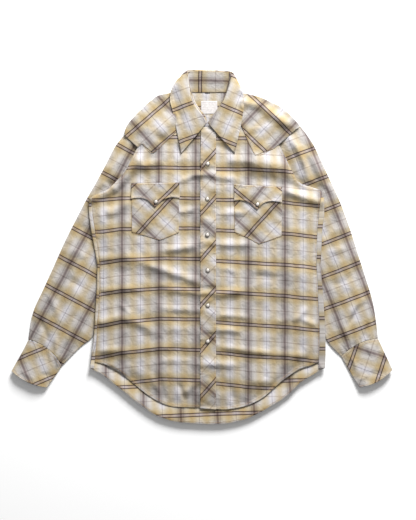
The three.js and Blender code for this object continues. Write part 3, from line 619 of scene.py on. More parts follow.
@dataclass(frozen=True)
class Grain:
    """How the plaid lies on one piece: a straight turn of the table's plane.

    Attributes:
        turn: Angle of the weft stripes from X, in degrees.
        weft: Distance of a weft stripe's middle from the origin, square to the stripe.
        warp: Distance of a dark warp's middle from the origin, along the weft.
        warp_stretch: Repeat of the warp over the cloth's true one.
        weft_stretch: Repeat of the weft over the cloth's true one.
        drop: What to add to Y before the turn, where the cloth lies bent.
    """

    turn: float
    weft: float
    warp: float
    warp_stretch: float = 1.0
    weft_stretch: float = 1.0
    drop: Callable[[Points], np.ndarray] | None = None

    def place(self, points: Points) -> np.ndarray:
        """Cloth coordinates in metres, across and along the warp, of points on the table."""
        x, y = points[:, 0], points[:, 1]
        if self.drop is not None:
            y = y + self.drop(points)
        angle = math.radians(self.turn)
        across = x * math.cos(angle) + y * math.sin(angle) - self.warp * MM
        along = y * math.cos(angle) - x * math.sin(angle) - self.weft * MM
        return np.stack([across / self.warp_stretch, along / self.weft_stretch], axis=1)


def right_front_drop(points: Points) -> np.ndarray:
    """The right front's stripes sink towards the side seam, and more so at the hem."""
    knots = np.array([-245, -197, -101, -10]) * MM
    even = np.interp(points[:, 0], knots, np.array([4.5, 0.6, -1, 0]) * MM)
    low = np.maximum((118 * MM - points[:, 1]) / (308 * MM), -0.25)
    return even + low * np.interp(points[:, 0], knots, np.array([8.5, 3, -4, -3]) * MM)


def left_front_drop(points: Points) -> np.ndarray:
    """The left front's stripes sink towards the side seam, and more so at the hem."""
    knots = np.array([36, 115, 199, 271]) * MM
    even = np.interp(points[:, 0], knots, np.array([0, 0.5, 5.5, 13.5]) * MM)
    low = (184 * MM - points[:, 1]) / (500 * MM)
    return even + low * np.interp(points[:, 0], knots, np.array([0, 8, 7.5, 7]) * MM)


GRAINS = {
    "back": Grain(turn=2.2, weft=-255, warp=22),
    "back_yoke": Grain(turn=0, weft=333.8, warp=-34),
    "front_right": Grain(turn=0, weft=43.2, warp=-103.2, drop=right_front_drop),
    "front_left": Grain(turn=0, weft=39.6, warp=24, warp_stretch=0.99, drop=left_front_drop),
    "front_yoke_right": Grain(turn=41, weft=248.2, warp=70, weft_stretch=0.96),
    "front_yoke_left": Grain(turn=-44, weft=269.3, warp=-133),
    "placket": Grain(turn=48.8, weft=126.7, warp=141.5, warp_stretch=1.1, weft_stretch=0.984),
    "pocket_right": Grain(turn=47, weft=134.5, warp=-60),
    "pocket_left": Grain(turn=47.5, weft=-61, warp=104),
    "flap_right": Grain(turn=44, weft=149, warp=-13),
    "flap_left": Grain(turn=-39.5, weft=155, warp=22),
    "sleeve_right": Grain(turn=-28.3, weft=120, warp=-258.7, warp_stretch=1.03,
                          weft_stretch=1.029),
    "sleeve_left": Grain(turn=21, weft=124.8, warp=330, weft_stretch=1.007),
    "cuff_right": Grain(turn=22.5, weft=-78.8, warp=-505, weft_stretch=0.98),
    "cuff_left": Grain(turn=71, weft=-427, warp=-106.9),
    "collar_right": Grain(turn=20.5, weft=254.4, warp=29, weft_stretch=1.04),
    "collar_left": Grain(turn=-22.9, weft=255.6, warp=-100, weft_stretch=1.03),
    "stand": Grain(turn=90, weft=4.3, warp=399),
}


def srgb(code: str, alpha: float = 1.0) -> tuple[float, float, float, float]:
    """Turn a hex colour as seen on a screen into linear light."""
    parts = [int(code[i:i + 2], 16) / 255 for i in (1, 3, 5)]
    red, green, blue = (p / 12.92 if p <= 0.04045 else ((p + 0.055) / 1.055) ** 2.4
                        for p in parts)
    return red, green, blue, alpha


def add_node(tree: bpy.types.NodeTree, kind: str, inputs: dict | None = None,
             **settings: object) -> bpy.types.Node:
    """Add a node with its settings, and fill or link its inputs.

    Args:
        tree: The node tree that it goes into.
        kind: The node's type.
        inputs: A value or another node's output for each input, by name or number.
        **settings: The node's own properties.

    Returns:
        The new node.
    """
    node = tree.nodes.new(kind)
    for name, value in settings.items():
        setattr(node, name, value)
    for key, value in (inputs or {}).items():
        if isinstance(value, bpy.types.NodeSocket):
            tree.links.new(value, node.inputs[key])
        else:
            node.inputs[key].default_value = value
    return node


def new_material(name: str) -> tuple[bpy.types.Material, bpy.types.NodeTree]:
    """An empty material and its node tree."""
    material = bpy.data.materials.new(name)
    material.use_nodes = True
    material.node_tree.nodes.clear()
    return material, material.node_tree


def finish_material(tree: bpy.types.NodeTree, shader: bpy.types.Node) -> None:
    """Link a shader to the material's output."""
    add_node(tree, "ShaderNodeOutputMaterial", {"Surface": shader.outputs[0]})


def chart(tree: bpy.types.NodeTree, factor: bpy.types.NodeSocket, half: float,
          stripes: Sequence[tuple[float, str]]) -> bpy.types.NodeSocket:
    """Colour by distance through half a repeat of the plaid.

    Args:
        tree: The node tree.
        factor: The distance, as a share of half the repeat.
        half: Half the repeat, in millimetres.
        stripes: Distance in millimetres and colour of each stripe's edge, from the middle out.

    Returns:
        The colour.
    """
    ramp = add_node(tree, "ShaderNodeValToRGB", {"Fac": factor})
    stops = ramp.color_ramp.elements
    while len(stops) > 1:
        stops.remove(stops[-1])
    for i, (distance, code) in enumerate(stripes):
        stop = stops[0] if i == 0 else stops.new(distance / half)
        stop.position = distance / half
        stop.color = srgb(code)
    return ramp.outputs["Color"]


@dataclass(frozen=True)
class PlaidShirting:
    """Yarn-dyed plain-weave cotton shirting, washed soft.

    Plain weave: every stripe is seen through the threads that cross it, so the warp's colours
    and the weft's multiply, and two dark stripes cross almost black. The eye sees soft ombre
    bands of gold, cream and lavender white, with crisp dark pairs of weft lines and smoky
    dark warps.
    """

    warp_half: float = 44.0
    weft_half: float = 36.65
    warp_stripes: tuple[tuple[float, str], ...] = (
        (0.0, "#857d85"), (1.4, "#8a828b"), (2.6, "#a7a1a8"), (5.8, "#bebdc7"),
        (6.7, "#9894a0"), (7.7, "#c5c5cf"), (10.8, "#cdced8"), (13.5, "#d8d9e3"),
        (17.5, "#d7d6dc"), (21.5, "#d4cec6"), (26.4, "#d2c9bb"), (30.0, "#d5cec7"),
        (34.0, "#d7d4d4"), (38.0, "#dcdeee"), (42.6, "#e5e9fd"), (43.3, "#c4c6db"),
        (44.0, "#babcd3"),
    )
    weft_stripes: tuple[tuple[float, str], ...] = (
        (0.0, "#bbac9c"), (2.0, "#c6b6a5"), (2.7, "#564740"), (4.3, "#564740"),
        (5.1, "#cdba90"), (9.0, "#d4c29d"), (13.5, "#d6c8a6"), (17.5, "#ddd3bc"),
        (22.0, "#e1d9c8"), (27.0, "#e0d9ca"), (34.6, "#e5decf"), (35.7, "#cfc6b8"),
        (36.65, "#c3b9ac"),
    )
    roughness: float = 0.86
    sheen: float = 0.04
    thread: float = 1.1

    def build(self) -> bpy.types.Material:
        """Make the material. Its UV map "cloth" is in metres across and along the warp."""
        material, tree = new_material("washed_plaid_cotton")
        cloth = add_node(tree, "ShaderNodeUVMap", uv_map="cloth").outputs["UV"]
        sway = add_node(tree, "ShaderNodeTexNoise",
                        {"Vector": cloth, "Scale": 22.0, "Detail": 2.0}).outputs["Color"]
        centred = add_node(tree, "ShaderNodeVectorMath", {0: sway, 1: (0.5, 0.5, 0.5)},
                           operation="SUBTRACT").outputs["Vector"]
        shifted = add_node(tree, "ShaderNodeVectorMath",
                           {0: centred, 1: (0.003, 0.003, 0.0), 2: cloth},
                           operation="MULTIPLY_ADD").outputs["Vector"]
        axes = add_node(tree, "ShaderNodeSeparateXYZ", {"Vector": shifted}).outputs
        colours = []
        for axis, half, stripes in (("X", self.warp_half, self.warp_stripes),
                                    ("Y", self.weft_half, self.weft_stripes)):
            there_and_back = add_node(tree, "ShaderNodeMath", {0: axes[axis], 1: half * MM},
                                      operation="PINGPONG").outputs[0]
            share = add_node(tree, "ShaderNodeMath", {0: there_and_back, 1: 1 / (half * MM)},
                             operation="MULTIPLY").outputs[0]
            colours.append(chart(tree, share, half, stripes))
        woven = add_node(tree, "ShaderNodeMix", data_type="RGBA", blend_type="MULTIPLY")
        link_mix(tree, woven, colours[0], colours[1])
        slubs = self.slubs(tree, shifted)
        shade = add_node(tree, "ShaderNodeMix", data_type="RGBA", blend_type="MULTIPLY")
        link_mix(tree, shade, woven.outputs[2], slubs)
        bump = self.weave(tree, shifted, cloth)
        shader = add_node(tree, "ShaderNodeBsdfPrincipled", {
            "Base Color": shade.outputs[2], "Roughness": self.roughness,
            "Specular IOR Level": 0.12, "Sheen Weight": self.sheen, "Sheen Roughness": 0.5,
            "Normal": bump,
        })
        finish_material(tree, shader)
        return material

    def slubs(self, tree: bpy.types.NodeTree,
              cloth: bpy.types.NodeSocket) -> bpy.types.NodeSocket:
        """Uneven threads both ways and patches that the wash has faded."""
        shades = []
        for stretch in ((90.0, 1500.0, 1.0), (1500.0, 90.0, 1.0), (9.0, 9.0, 1.0)):
            scaled = add_node(tree, "ShaderNodeVectorMath", {0: cloth, 1: stretch},
                              operation="MULTIPLY").outputs["Vector"]
            shades.append(add_node(tree, "ShaderNodeTexNoise", {
                "Vector": scaled, "Scale": 1.0, "Detail": 2.0}).outputs["Fac"])
        first = add_node(tree, "ShaderNodeMath", {0: shades[0], 1: shades[1]},
                         operation="ADD").outputs[0]
        total = add_node(tree, "ShaderNodeMath", {0: first, 1: shades[2]},
                         operation="ADD").outputs[0]
        level = add_node(tree, "ShaderNodeMapRange", {
            "Value": total, "From Min": 1.0, "From Max": 2.0, "To Min": 0.73,
            "To Max": 0.87}).outputs["Result"]
        return add_node(tree, "ShaderNodeCombineColor", {
            "Red": level, "Green": level, "Blue": level}).outputs["Color"]

    def weave(self, tree: bpy.types.NodeTree, cloth: bpy.types.NodeSocket,
              plain: bpy.types.NodeSocket) -> bpy.types.NodeSocket:
        """Relief of the threads and of the small dry creases between them.

        Real threads are 0.25 mm apart, too fine to show, so they are drawn 1.1 mm apart.
        """
        turns = 2 * math.pi / (self.thread * MM)
        axes = add_node(tree, "ShaderNodeSeparateXYZ", {"Vector": cloth}).outputs
        waves = []
        for axis in ("X", "Y"):
            turned = add_node(tree, "ShaderNodeMath", {0: axes[axis], 1: turns},
                              operation="MULTIPLY").outputs[0]
            waves.append(add_node(tree, "ShaderNodeMath", {0: turned},
                                  operation="SINE").outputs[0])
        threads = add_node(tree, "ShaderNodeMath", {0: waves[0], 1: waves[1]},
                           operation="MULTIPLY").outputs[0]
        woven = add_node(tree, "ShaderNodeBump", {
            "Height": threads, "Strength": 0.25, "Distance": 0.00012}).outputs["Normal"]
        dents = add_node(tree, "ShaderNodeTexNoise", {
            "Vector": plain, "Scale": 75.0, "Detail": 4.0, "Roughness": 0.55,
            "Distortion": 0.8}).outputs["Fac"]
        return add_node(tree, "ShaderNodeBump", {
            "Height": dents, "Strength": 1.0, "Distance": 0.0016,
            "Normal": woven}).outputs["Normal"]


def link_mix(tree: bpy.types.NodeTree, mix: bpy.types.Node, a: bpy.types.NodeSocket,
             b: bpy.types.NodeSocket) -> None:
    """Link both colours of a colour mix and set it to its full strength."""
    mix.inputs[0].default_value = 1.0
    tree.links.new(a, mix.inputs[6])
    tree.links.new(b, mix.inputs[7])


@dataclass(frozen=True)
class WovenTape:
    """A narrow woven label or tape: fine satin ribs across it, dull and a little uneven."""

    name: str
    colour: str
    dark: str
    rib: float = 0.9
    roughness: float = 0.7

    def build(self) -> bpy.types.Material:
        """Make the material from Object coordinates."""
        material, tree = new_material(self.name)
        place = add_node(tree, "ShaderNodeTexCoord").outputs["Object"]
        ribs = add_node(tree, "ShaderNodeTexWave", {
            "Vector": place, "Scale": 1 / (self.rib * MM) / 20, "Distortion": 0.6,
            "Detail": 1.0}, wave_type="BANDS", bands_direction="Y").outputs["Fac"]
        mottle = add_node(tree, "ShaderNodeTexNoise", {
            "Vector": place, "Scale": 260.0, "Detail": 3.0}).outputs["Fac"]
        tone = add_node(tree, "ShaderNodeValToRGB", {"Fac": mottle})
        tone.color_ramp.elements[0].position = 0.3
        tone.color_ramp.elements[0].color = srgb(self.dark)
        tone.color_ramp.elements[1].position = 0.62
        tone.color_ramp.elements[1].color = srgb(self.colour)
        bump = add_node(tree, "ShaderNodeBump", {
            "Height": ribs, "Strength": 0.4, "Distance": 0.0002}).outputs["Normal"]
        shader = add_node(tree, "ShaderNodeBsdfPrincipled", {
            "Base Color": tone.outputs["Color"], "Roughness": self.roughness,
            "Specular IOR Level": 0.35, "Sheen Weight": 0.1, "Normal": bump})
        finish_material(tree, shader)
        return material


@dataclass(frozen=True)
class SewingThread:
    """Spun polyester sewing thread: a twisted, slightly glossy golden-brown strand."""

    name: str = "spun_sewing_thread"
    colour: str = "#b9986c"
    dark: str = "#8d6f4c"

    def build(self) -> bpy.types.Material:
        """Make the material, with the twist drawn along each stitch."""
        material, tree = new_material(self.name)
        place = add_node(tree, "ShaderNodeTexCoord").outputs["Object"]
        twist = add_node(tree, "ShaderNodeTexNoise", {
            "Vector": place, "Scale": 900.0, "Detail": 1.0}).outputs["Fac"]
        tone = add_node(tree, "ShaderNodeValToRGB", {"Fac": twist})
        tone.color_ramp.elements[0].color = srgb(self.dark)
        tone.color_ramp.elements[1].color = srgb(self.colour)
        bump = add_node(tree, "ShaderNodeBump", {
            "Height": twist, "Strength": 0.5, "Distance": 0.0001}).outputs["Normal"]
        shader = add_node(tree, "ShaderNodeBsdfPrincipled", {
            "Base Color": tone.outputs["Color"], "Roughness": 0.55, "Normal": bump})
        finish_material(tree, shader)
        return material


@dataclass(frozen=True)
class PearlResin:
    """Cast pearl resin of a snap's cap: milky, with slow silky clouds under a clear gloss."""

    light: str = "#cdc7bf"
    cloud: str = "#ada6a1"

    def build(self) -> bpy.types.Material:
        """Make the material from Object coordinates."""
        material, tree = new_material("pearl_resin")
        place = add_node(tree, "ShaderNodeTexCoord").outputs["Object"]
        clouds = add_node(tree, "ShaderNodeTexNoise", {
            "Vector": place, "Scale": 420.0, "Detail": 2.0, "Distortion": 1.6}).outputs["Fac"]
        tone = add_node(tree, "ShaderNodeValToRGB", {"Fac": clouds})
        tone.color_ramp.elements[0].position = 0.3
        tone.color_ramp.elements[0].color = srgb(self.cloud)
        tone.color_ramp.elements[1].position = 0.6
        tone.color_ramp.elements[1].color = srgb(self.light)
        shader = add_node(tree, "ShaderNodeBsdfPrincipled", {
            "Base Color": tone.outputs["Color"], "Roughness": 0.4, "IOR": 1.5,
            "Coat Weight": 0.35, "Coat Roughness": 0.18})
        finish_material(tree, shader)
        return material


@dataclass(frozen=True)
class PlatedBrass:
    """Nickel-plated brass of a snap's ring: bright grey, with fine turning marks."""

    colour: str = "#8c857c"

    def build(self) -> bpy.types.Material:
        """Make the material from Object coordinates."""
        material, tree = new_material("nickel_plated_brass")
        place = add_node(tree, "ShaderNodeTexCoord").outputs["Object"]
        marks = add_node(tree, "ShaderNodeTexNoise", {
            "Vector": place, "Scale": 1800.0, "Detail": 2.0}).outputs["Fac"]
        rough = add_node(tree, "ShaderNodeMapRange", {
            "Value": marks, "To Min": 0.22, "To Max": 0.42}).outputs["Result"]
        shader = add_node(tree, "ShaderNodeBsdfPrincipled", {
            "Base Color": srgb(self.colour), "Metallic": 1.0, "Roughness": rough})
        finish_material(tree, shader)
        return material


@dataclass
class Finishes:
    """Every finish on the shirt, made once."""

    plaid: bpy.types.Material = field(default_factory=lambda: PlaidShirting().build())
    label: bpy.types.Material = field(default_factory=lambda: WovenTape(
        "damask_label", "#c4c0be", "#b0acab").build())
    tag: bpy.types.Material = field(default_factory=lambda: WovenTape(
        "dark_woven_tag", "#4a464a", "#2b282c").build())
    thread: bpy.types.Material = field(default_factory=lambda: SewingThread().build())
    dark_thread: bpy.types.Material = field(default_factory=lambda: SewingThread(
        "dark_bar_tack_thread", "#4a3d3a", "#2c2423").build())
    pearl: bpy.types.Material = field(default_factory=lambda: PearlResin().build())
    metal: bpy.types.Material = field(default_factory=lambda: PlatedBrass().build())


def mesh_points(mesh: bpy.types.Mesh) -> np.ndarray:
    """Every vertex's place as rows of a table."""
    values = np.empty(len(mesh.vertices) * 3)
    mesh.vertices.foreach_get("co", values)
    return values.reshape(-1, 3)


def set_mesh_points(mesh: bpy.types.Mesh, points: np.ndarray) -> None:
    """Move every vertex of a mesh."""
    mesh.vertices.foreach_set("co", points.astype(np.float32).ravel())
    mesh.update()


def set_cloth_map(mesh: bpy.types.Mesh, cloth: np.ndarray) -> None:
    """Write each vertex's cloth coordinates to the UV map "cloth"."""
    layer = mesh.uv_layers.new(name="cloth")
    index = np.empty(len(mesh.loops), dtype=np.int32)
    mesh.loops.foreach_get("vertex_index", index)
    layer.data.foreach_set("uv", cloth[index].astype(np.float32).ravel())


def to_mesh(bm: bmesh.types.BMesh, name: str) -> bpy.types.Mesh:
    """Close a bmesh into a smooth mesh."""
    for face in bm.faces:
        face.smooth = True
    mesh = bpy.data.meshes.new(name)
    bm.to_mesh(mesh)
    bm.free()
    return mesh


def add_object(name: str, mesh: bpy.types.Mesh, *materials: bpy.types.Material,
               replaces: Sequence[str] = (), slot: str | None = None) -> bpy.types.Object:
    """Put a mesh into the scene, riding with the shirt.

    Args:
        name: The object's name.
        mesh: Its mesh, already in place.
        *materials: Its material slots.
        replaces: The CAD nodes that it stands for.
        slot: The record's material slot that it stands for; not used.

    Returns:
        The object.
    """
    obj = bpy.data.objects.new(name, mesh)
    bpy.context.scene.collection.objects.link(obj)
    for material in materials:
        mesh.materials.append(material)
    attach(obj, "root")
    if replaces:
        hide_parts(*replaces)
    LOG.info("%s: %d faces", name, len(mesh.polygons))
    return obj


def give_wall(obj: bpy.types.Object, thickness: float) -> None:
    """Thicken a sheet downwards, or a tube inwards."""
    wall = obj.modifiers.new("wall", "SOLIDIFY")
    wall.thickness = thickness
    wall.offset = -1
    wall.use_even_offset = False
    normals = obj.modifiers.new("even_normals", "WEIGHTED_NORMAL")
    normals.mode = "FACE_AREA"
    normals.weight = 50


def rounded(line: Points, step: float, closed: bool = False,
            sharp: Sequence[int] = ()) -> Points:
    """Round a chain into a smooth curve with a point every step.

    Args:
        line: The points it passes through.
        step: Distance between the new points.
        closed: Whether its end joins its start.
        sharp: The numbers of the points that stay corners.

    Returns:
        The new chain.
    """
    count = len(line)
    result = []
    for i in range(count if closed else count - 1):
        a, b = line[i], line[(i + 1) % count]
        before = line[i - 1] if closed or i else a
        after = line[(i + 2) % count] if closed or i + 2 < count else b
        length = float(np.hypot(*(b - a)))
        ta = (b - a) if i in sharp else (b - before) / 2
        tb = (b - a) if (i + 1) % count in sharp else (after - a) / 2
        for tangent in (ta, tb):
            size = float(np.hypot(*tangent))
            if size > length:
                tangent *= length / size
        pieces = max(1, round(length / step))
        for k in range(pieces):
            f = k / pieces
            result.append(a * (2 * f**3 - 3 * f**2 + 1) + ta * (f**3 - 2 * f**2 + f)
                          + b * (3 * f**2 - 2 * f**3) + tb * (f**3 - f**2))
    if not closed:
        result.append(line[-1])
    return np.array(result)


def cut_grid(outline: Points, step: float, corners: Points) -> bmesh.types.BMesh:
    """Cut a flat piece out of a grid: cells outside go, and the rim moves to the outline.

    Args:
        outline: The closed outline.
        step: Size of a cell.
        corners: The outline's sharp corners.

    Returns:
        The flat piece.
    """
    low = outline.min(axis=0) - 1.5 * step
    high = outline.max(axis=0) + 1.5 * step
    size = high - low
    bm = bmesh.new()
    bmesh.ops.create_grid(bm, x_segments=round(size[0] / step),
                          y_segments=round(size[1] / step), size=1.0)
    middle = (low + high) / 2
    bmesh.ops.transform(bm, verts=bm.verts, matrix=Matrix.Translation((*middle, 0))
                        @ Matrix.Diagonal((size[0] / 2, size[1] / 2, 1, 1)))
    places = np.array([(v.co.x, v.co.y) for v in bm.verts])
    inside = is_inside(places, outline)
    away = nearest_on(places, outline, closed=True)
    gone = [v for v, i, d in zip(bm.verts, inside, away.distance)
            if not i and d > 0.35 * step]
    bmesh.ops.delete(bm, geom=gone, context="VERTS")
    bmesh.ops.delete(bm, geom=[v for v in bm.verts if not v.link_faces], context="VERTS")
    rim = [v for v in bm.verts if v.is_boundary]
    found = nearest_on(np.array([(v.co.x, v.co.y) for v in rim]), outline, closed=True)
    for vertex, foot in zip(rim, found.foot):
        vertex.co.x, vertex.co.y = foot
    rim_places = found.foot.copy()
    for corner in corners:
        nearest = int(np.argmin(np.hypot(*(rim_places - corner).T)))
        rim[nearest].co.x, rim[nearest].co.y = corner
        rim_places[nearest] = np.inf
    return bm


def grid_between(columns: int, rows: int) -> bmesh.types.BMesh:
    """A grid whose X and Y both run from 0 to 1."""
    bm = bmesh.new()
    bmesh.ops.create_grid(bm, x_segments=columns, y_segments=rows, size=0.5)
    bmesh.ops.translate(bm, verts=bm.verts, vec=(0.5, 0.5, 0))
    return bm


@dataclass
class Pucker:
    """Ripples that a seam draws into the cloth beside it.

    Attributes:
        line: The seam.
        height: Height of the ripples.
        spacing: Distance between them.
        reach: How far they run from the seam.
        phase: Where the wave starts.
        closed: Whether the seam joins its start.
    """

    line: Points
    height: float = 0.35 * MM
    spacing: float = 8 * MM
    reach: float = 8 * MM
    phase: float = 0.0
    closed: bool = False

    def heights(self, points: Points) -> np.ndarray:
        """Height of the ripples at points on the table."""
        near = nearest_on(points, self.line, self.closed)
        fade = np.exp(-((near.distance / self.reach) ** 2))
        return self.height * fade * uneven_wave(near.run, self.spacing, self.phase)


@dataclass
class FlatPiece:
    """One cut piece of the laid body.

    Attributes:
        name: The node that it stands for.
        outline: Its closed outline.
        layer: Layers of cloth under it, counted from the right front.
        grain: How the plaid lies on it.
        sharp: The numbers of the outline's points that are corners.
        step: Size of a cell.
        wall: Thickness of its cloth.
        puckers: The seams that ripple it.
        lift: Extra height over its layer, by place.
        turned_edge: An edge turned under twice and stitched, so thicker.
        rounded_edge: An edge that rolls down over the seam.
        on_back: Whether it lies on the back instead of the fronts.
        rests_on: What it lies on; not used.
        held: How the cloth is held there; not used.
    """

    name: str
    outline: Points
    layer: float
    grain: Grain
    sharp: Sequence[int] = ()
    step: float = 3 * MM
    wall: float = 0.8 * MM
    puckers: Sequence[Pucker] = ()
    lift: Callable[[Points], np.ndarray] | None = None
    turned_edge: Points | None = None
    rounded_edge: Points | None = None
    on_back: bool = False
    rests_on: Sequence[str] = ()
    held: str = "laid"

    def top(self, points: Points) -> np.ndarray:
        """Height of the piece's upper face at points on the table."""
        base = RELIEF.back(points) if self.on_back else RELIEF.front(points)
        height = base + self.layer * LAYER + WALL
        for pucker in self.puckers:
            height = height + pucker.heights(points)
        if self.lift is not None:
            height = height + self.lift(points)
        if self.turned_edge is not None:
            near = nearest_on(points, self.turned_edge).distance
            height = height + TURNED_HEIGHT * ease((TURNED_REACH - near) / TURNED_BLEND)
        if self.rounded_edge is not None:
            near = nearest_on(points, self.rounded_edge).distance
            height = height - ROLL_DROP * ease((ROLL_REACH - near) / ROLL_REACH)
        return height

    def build(self, material: bpy.types.Material, slot: str) -> bpy.types.Object:
        """Cut the piece, lay it, and dress it."""
        smooth = rounded(self.outline, 2 * self.step, closed=True, sharp=self.sharp)
        bm = cut_grid(smooth, self.step, self.outline[list(self.sharp)])
        mesh = to_mesh(bm, self.name)
        points = mesh_points(mesh)
        points[:, 2] = self.top(points[:, :2])
        set_mesh_points(mesh, points)
        set_cloth_map(mesh, self.grain.place(points[:, :2]))
        obj = add_object(f"{self.name}_cloth", mesh, material, replaces=[self.name], slot=slot)
        give_wall(obj, self.wall)
        return obj


def side_line(column: str, shift: float) -> Points:
    """One of the body's side lines above the hem, moved sideways."""
    keep = SIDES["y"] > -276 * MM
    return np.stack([SIDES[column][keep] + shift, SIDES["y"][keep]], axis=1)


class Side(Enum):
    """The wearer's sides, with the direction that each lies in."""

    RIGHT = -1
    LEFT = 1


@dataclass
class Fronts:
    """The two fronts with their hems, yokes and placket."""

    material: bpy.types.Material
    seam_gap: float = 0.15 * MM
    hem_pucker: float = 0.45 * MM
    side_pucker: float = 0.5 * MM

    def hem(self) -> Pucker:
        """Ripples of the narrow curved hem."""
        return Pucker(chain(FRONT_HEM), self.hem_pucker, 9 * MM, 9 * MM, 0.6)

    def side(self, side: Side) -> Pucker:
        """Ripples of a side seam."""
        column = "right_seam" if side is Side.RIGHT else "left_seam"
        return Pucker(side_line(column, 0), self.side_pucker, 11 * MM, 9 * MM, 1.9)

    def right(self) -> FlatPiece:
        """The right front, which runs under the placket."""
        hem = chain(FRONT_HEM)
        outline = np.concatenate([
            hem[hem[:, 0] < UNDERLAP_X],
            [(UNDERLAP_X, look_up(FRONT_HEM, "x", "y", UNDERLAP_X)),
             (UNDERLAP_X, FRONT_TOP_Y)],
            chain(NECK_RIGHT)[::-1], chain(SHOULDER_RIGHT)[::-1],
            chain(ARMHOLE_RIGHT)[::-1],
            side_line("right_seam", self.seam_gap)[::-1],
        ])
        armhole = Pucker(chain(ARMHOLE_RIGHT), 0.4 * MM, 10 * MM, 8 * MM, 0.2)
        first = int(np.sum(hem[:, 0] < UNDERLAP_X))
        neck, shoulder = len(NECK_RIGHT["x"]), len(SHOULDER_RIGHT["x"])
        corners = [0, first, first + 1, first + 2 + neck, first + 1 + neck + shoulder,
                   first + 2 + neck + shoulder]
        return FlatPiece("front_right", outline, 0, GRAINS["front_right"], corners,
                         step=2.6 * MM, turned_edge=chain(FRONT_HEM),
                         rounded_edge=chain(ARMHOLE_RIGHT),
                         puckers=[self.hem(), self.side(Side.RIGHT), armhole],
                         rests_on=["back_cloth"])

    def left(self) -> FlatPiece:
        """The left front, which laps over the right one."""
        hem = chain(FRONT_HEM)
        edge = PLACKET_EDGE_X + 1 * MM
        over = hem[hem[:, 0] > PLACKET_EDGE_X + 4 * MM]
        outline = np.concatenate([
            [(edge, look_up(FRONT_HEM, "x", "y", edge))], over,
            side_line("left_seam", -self.seam_gap), chain(ARMHOLE_LEFT),
            chain(SHOULDER_LEFT), chain(NECK_LEFT)[::-1], [(edge, FRONT_TOP_Y)],
        ])
        armhole = Pucker(chain(ARMHOLE_LEFT), 0.4 * MM, 10 * MM, 8 * MM, 1.2)
        seam = np.array([(PLACKET_SEAM_X, -388 * MM), (PLACKET_SEAM_X, 287 * MM)])
        beside = Pucker(seam, 0.3 * MM, 12 * MM, 9 * MM, 0.9)
        side_start = 1 + len(over)
        armhole_start = side_start + len(side_line("left_seam", 0))
        shoulder_start = armhole_start + len(ARMHOLE_LEFT["x"])
        corners = [0, side_start - 1, shoulder_start - 1, shoulder_start, len(outline) - 1]
        return FlatPiece("front_left", outline, 1, GRAINS["front_left"], corners,
                         step=2.6 * MM, turned_edge=chain(FRONT_HEM),
                         rounded_edge=chain(ARMHOLE_LEFT),
                         puckers=[self.hem(), self.side(Side.LEFT), armhole, beside],
                         rests_on=["front_right_cloth", "back_cloth"])

    def yoke(self, side: Side) -> FlatPiece:
        """A pointed front yoke, cut on the bias."""
        if side is Side.RIGHT:
            outline = np.concatenate([chain(YOKE_EDGE_RIGHT), chain(SHOULDER_RIGHT),
                                      chain(NECK_RIGHT)[:3]])
            edge, name, layer = chain(YOKE_EDGE_RIGHT), "front_yoke_right", 0.7
        else:
            outline = np.concatenate([chain(YOKE_EDGE_LEFT), chain(SHOULDER_LEFT),
                                      chain(NECK_LEFT)[::-1][:3]])
            edge, name, layer = chain(YOKE_EDGE_LEFT), "front_yoke_left", 1.7
        puckers = [Pucker(edge, 0.35 * MM, 7 * MM, 6 * MM, 0.4),
                   Pucker(chain(SHOULDER_RIGHT if side is Side.RIGHT else SHOULDER_LEFT),
                          0.5 * MM, 9 * MM, 9 * MM, 2.4)]
        corners = [0, 1, 2, 3, 4, len(outline) - 4, len(outline) - 3]
        return FlatPiece(name, outline, layer, GRAINS[name], corners, step=2.2 * MM,
                         puckers=puckers, rests_on=[f"{name.replace('yoke_', '')}_cloth"])

    def placket(self) -> FlatPiece:
        """The bias placket on the left front's edge."""
        outline = np.array([
            (PLACKET_EDGE_X, -386 * MM), (PLACKET_SEAM_X, -389 * MM),
            (PLACKET_SEAM_X, -60 * MM), (PLACKET_SEAM_X, FRONT_TOP_Y),
            (PLACKET_EDGE_X + 2 * MM, FRONT_TOP_Y), (PLACKET_EDGE_X, 200 * MM),
        ])
        edge = np.array([outline[0], outline[5], outline[4]])
        seam = outline[1:4]
        puckers = [Pucker(edge, 0.5 * MM, 9 * MM, 7 * MM, 0.1),
                   Pucker(seam, 0.5 * MM, 8 * MM, 7 * MM, 2.2),
                   Pucker(seam - np.array((19 * MM, 0)), 1.0 * MM, 31 * MM, 22 * MM, 0.8)]
        return FlatPiece("placket", outline, 2, GRAINS["placket"], [0, 1, 3, 4],
                         step=2.1 * MM, wall=1.3 * MM, puckers=puckers,
                         rests_on=["front_left_cloth"])

    def stitch(self, sewing: "Sewing") -> None:
        """Stitch the hems, the placket, the yokes, the side seams and the armholes."""
        right, left, placket = self.right(), self.left(), self.placket()
        hem = beside(chain(FRONT_HEM), 5 * MM)
        sewing.on_piece(right, hem[hem[:, 0] < PLACKET_EDGE_X])
        sewing.on_piece(left, hem[hem[:, 0] > PLACKET_SEAM_X])
        sewing.on_piece(right, side_line("right_seam", 3 * MM))
        sewing.on_piece(left, side_line("left_seam", -3 * MM))
        sewing.on_piece(right, beside(chain(ARMHOLE_RIGHT), -5 * MM))
        sewing.on_piece(left, beside(chain(ARMHOLE_LEFT), 5 * MM))
        for x in (PLACKET_EDGE_X + 2.5 * MM, PLACKET_EDGE_X + 6 * MM,
                  PLACKET_SEAM_X - 2.5 * MM):
            sewing.on_piece(placket, np.array([(x, -384 * MM), (x, 262 * MM)]))
        sewing.on_piece(self.yoke(Side.RIGHT), beside(chain(YOKE_EDGE_RIGHT)[:3], -2.5 * MM))
        sewing.on_piece(self.yoke(Side.LEFT), beside(chain(YOKE_EDGE_LEFT)[:3], 2.5 * MM))

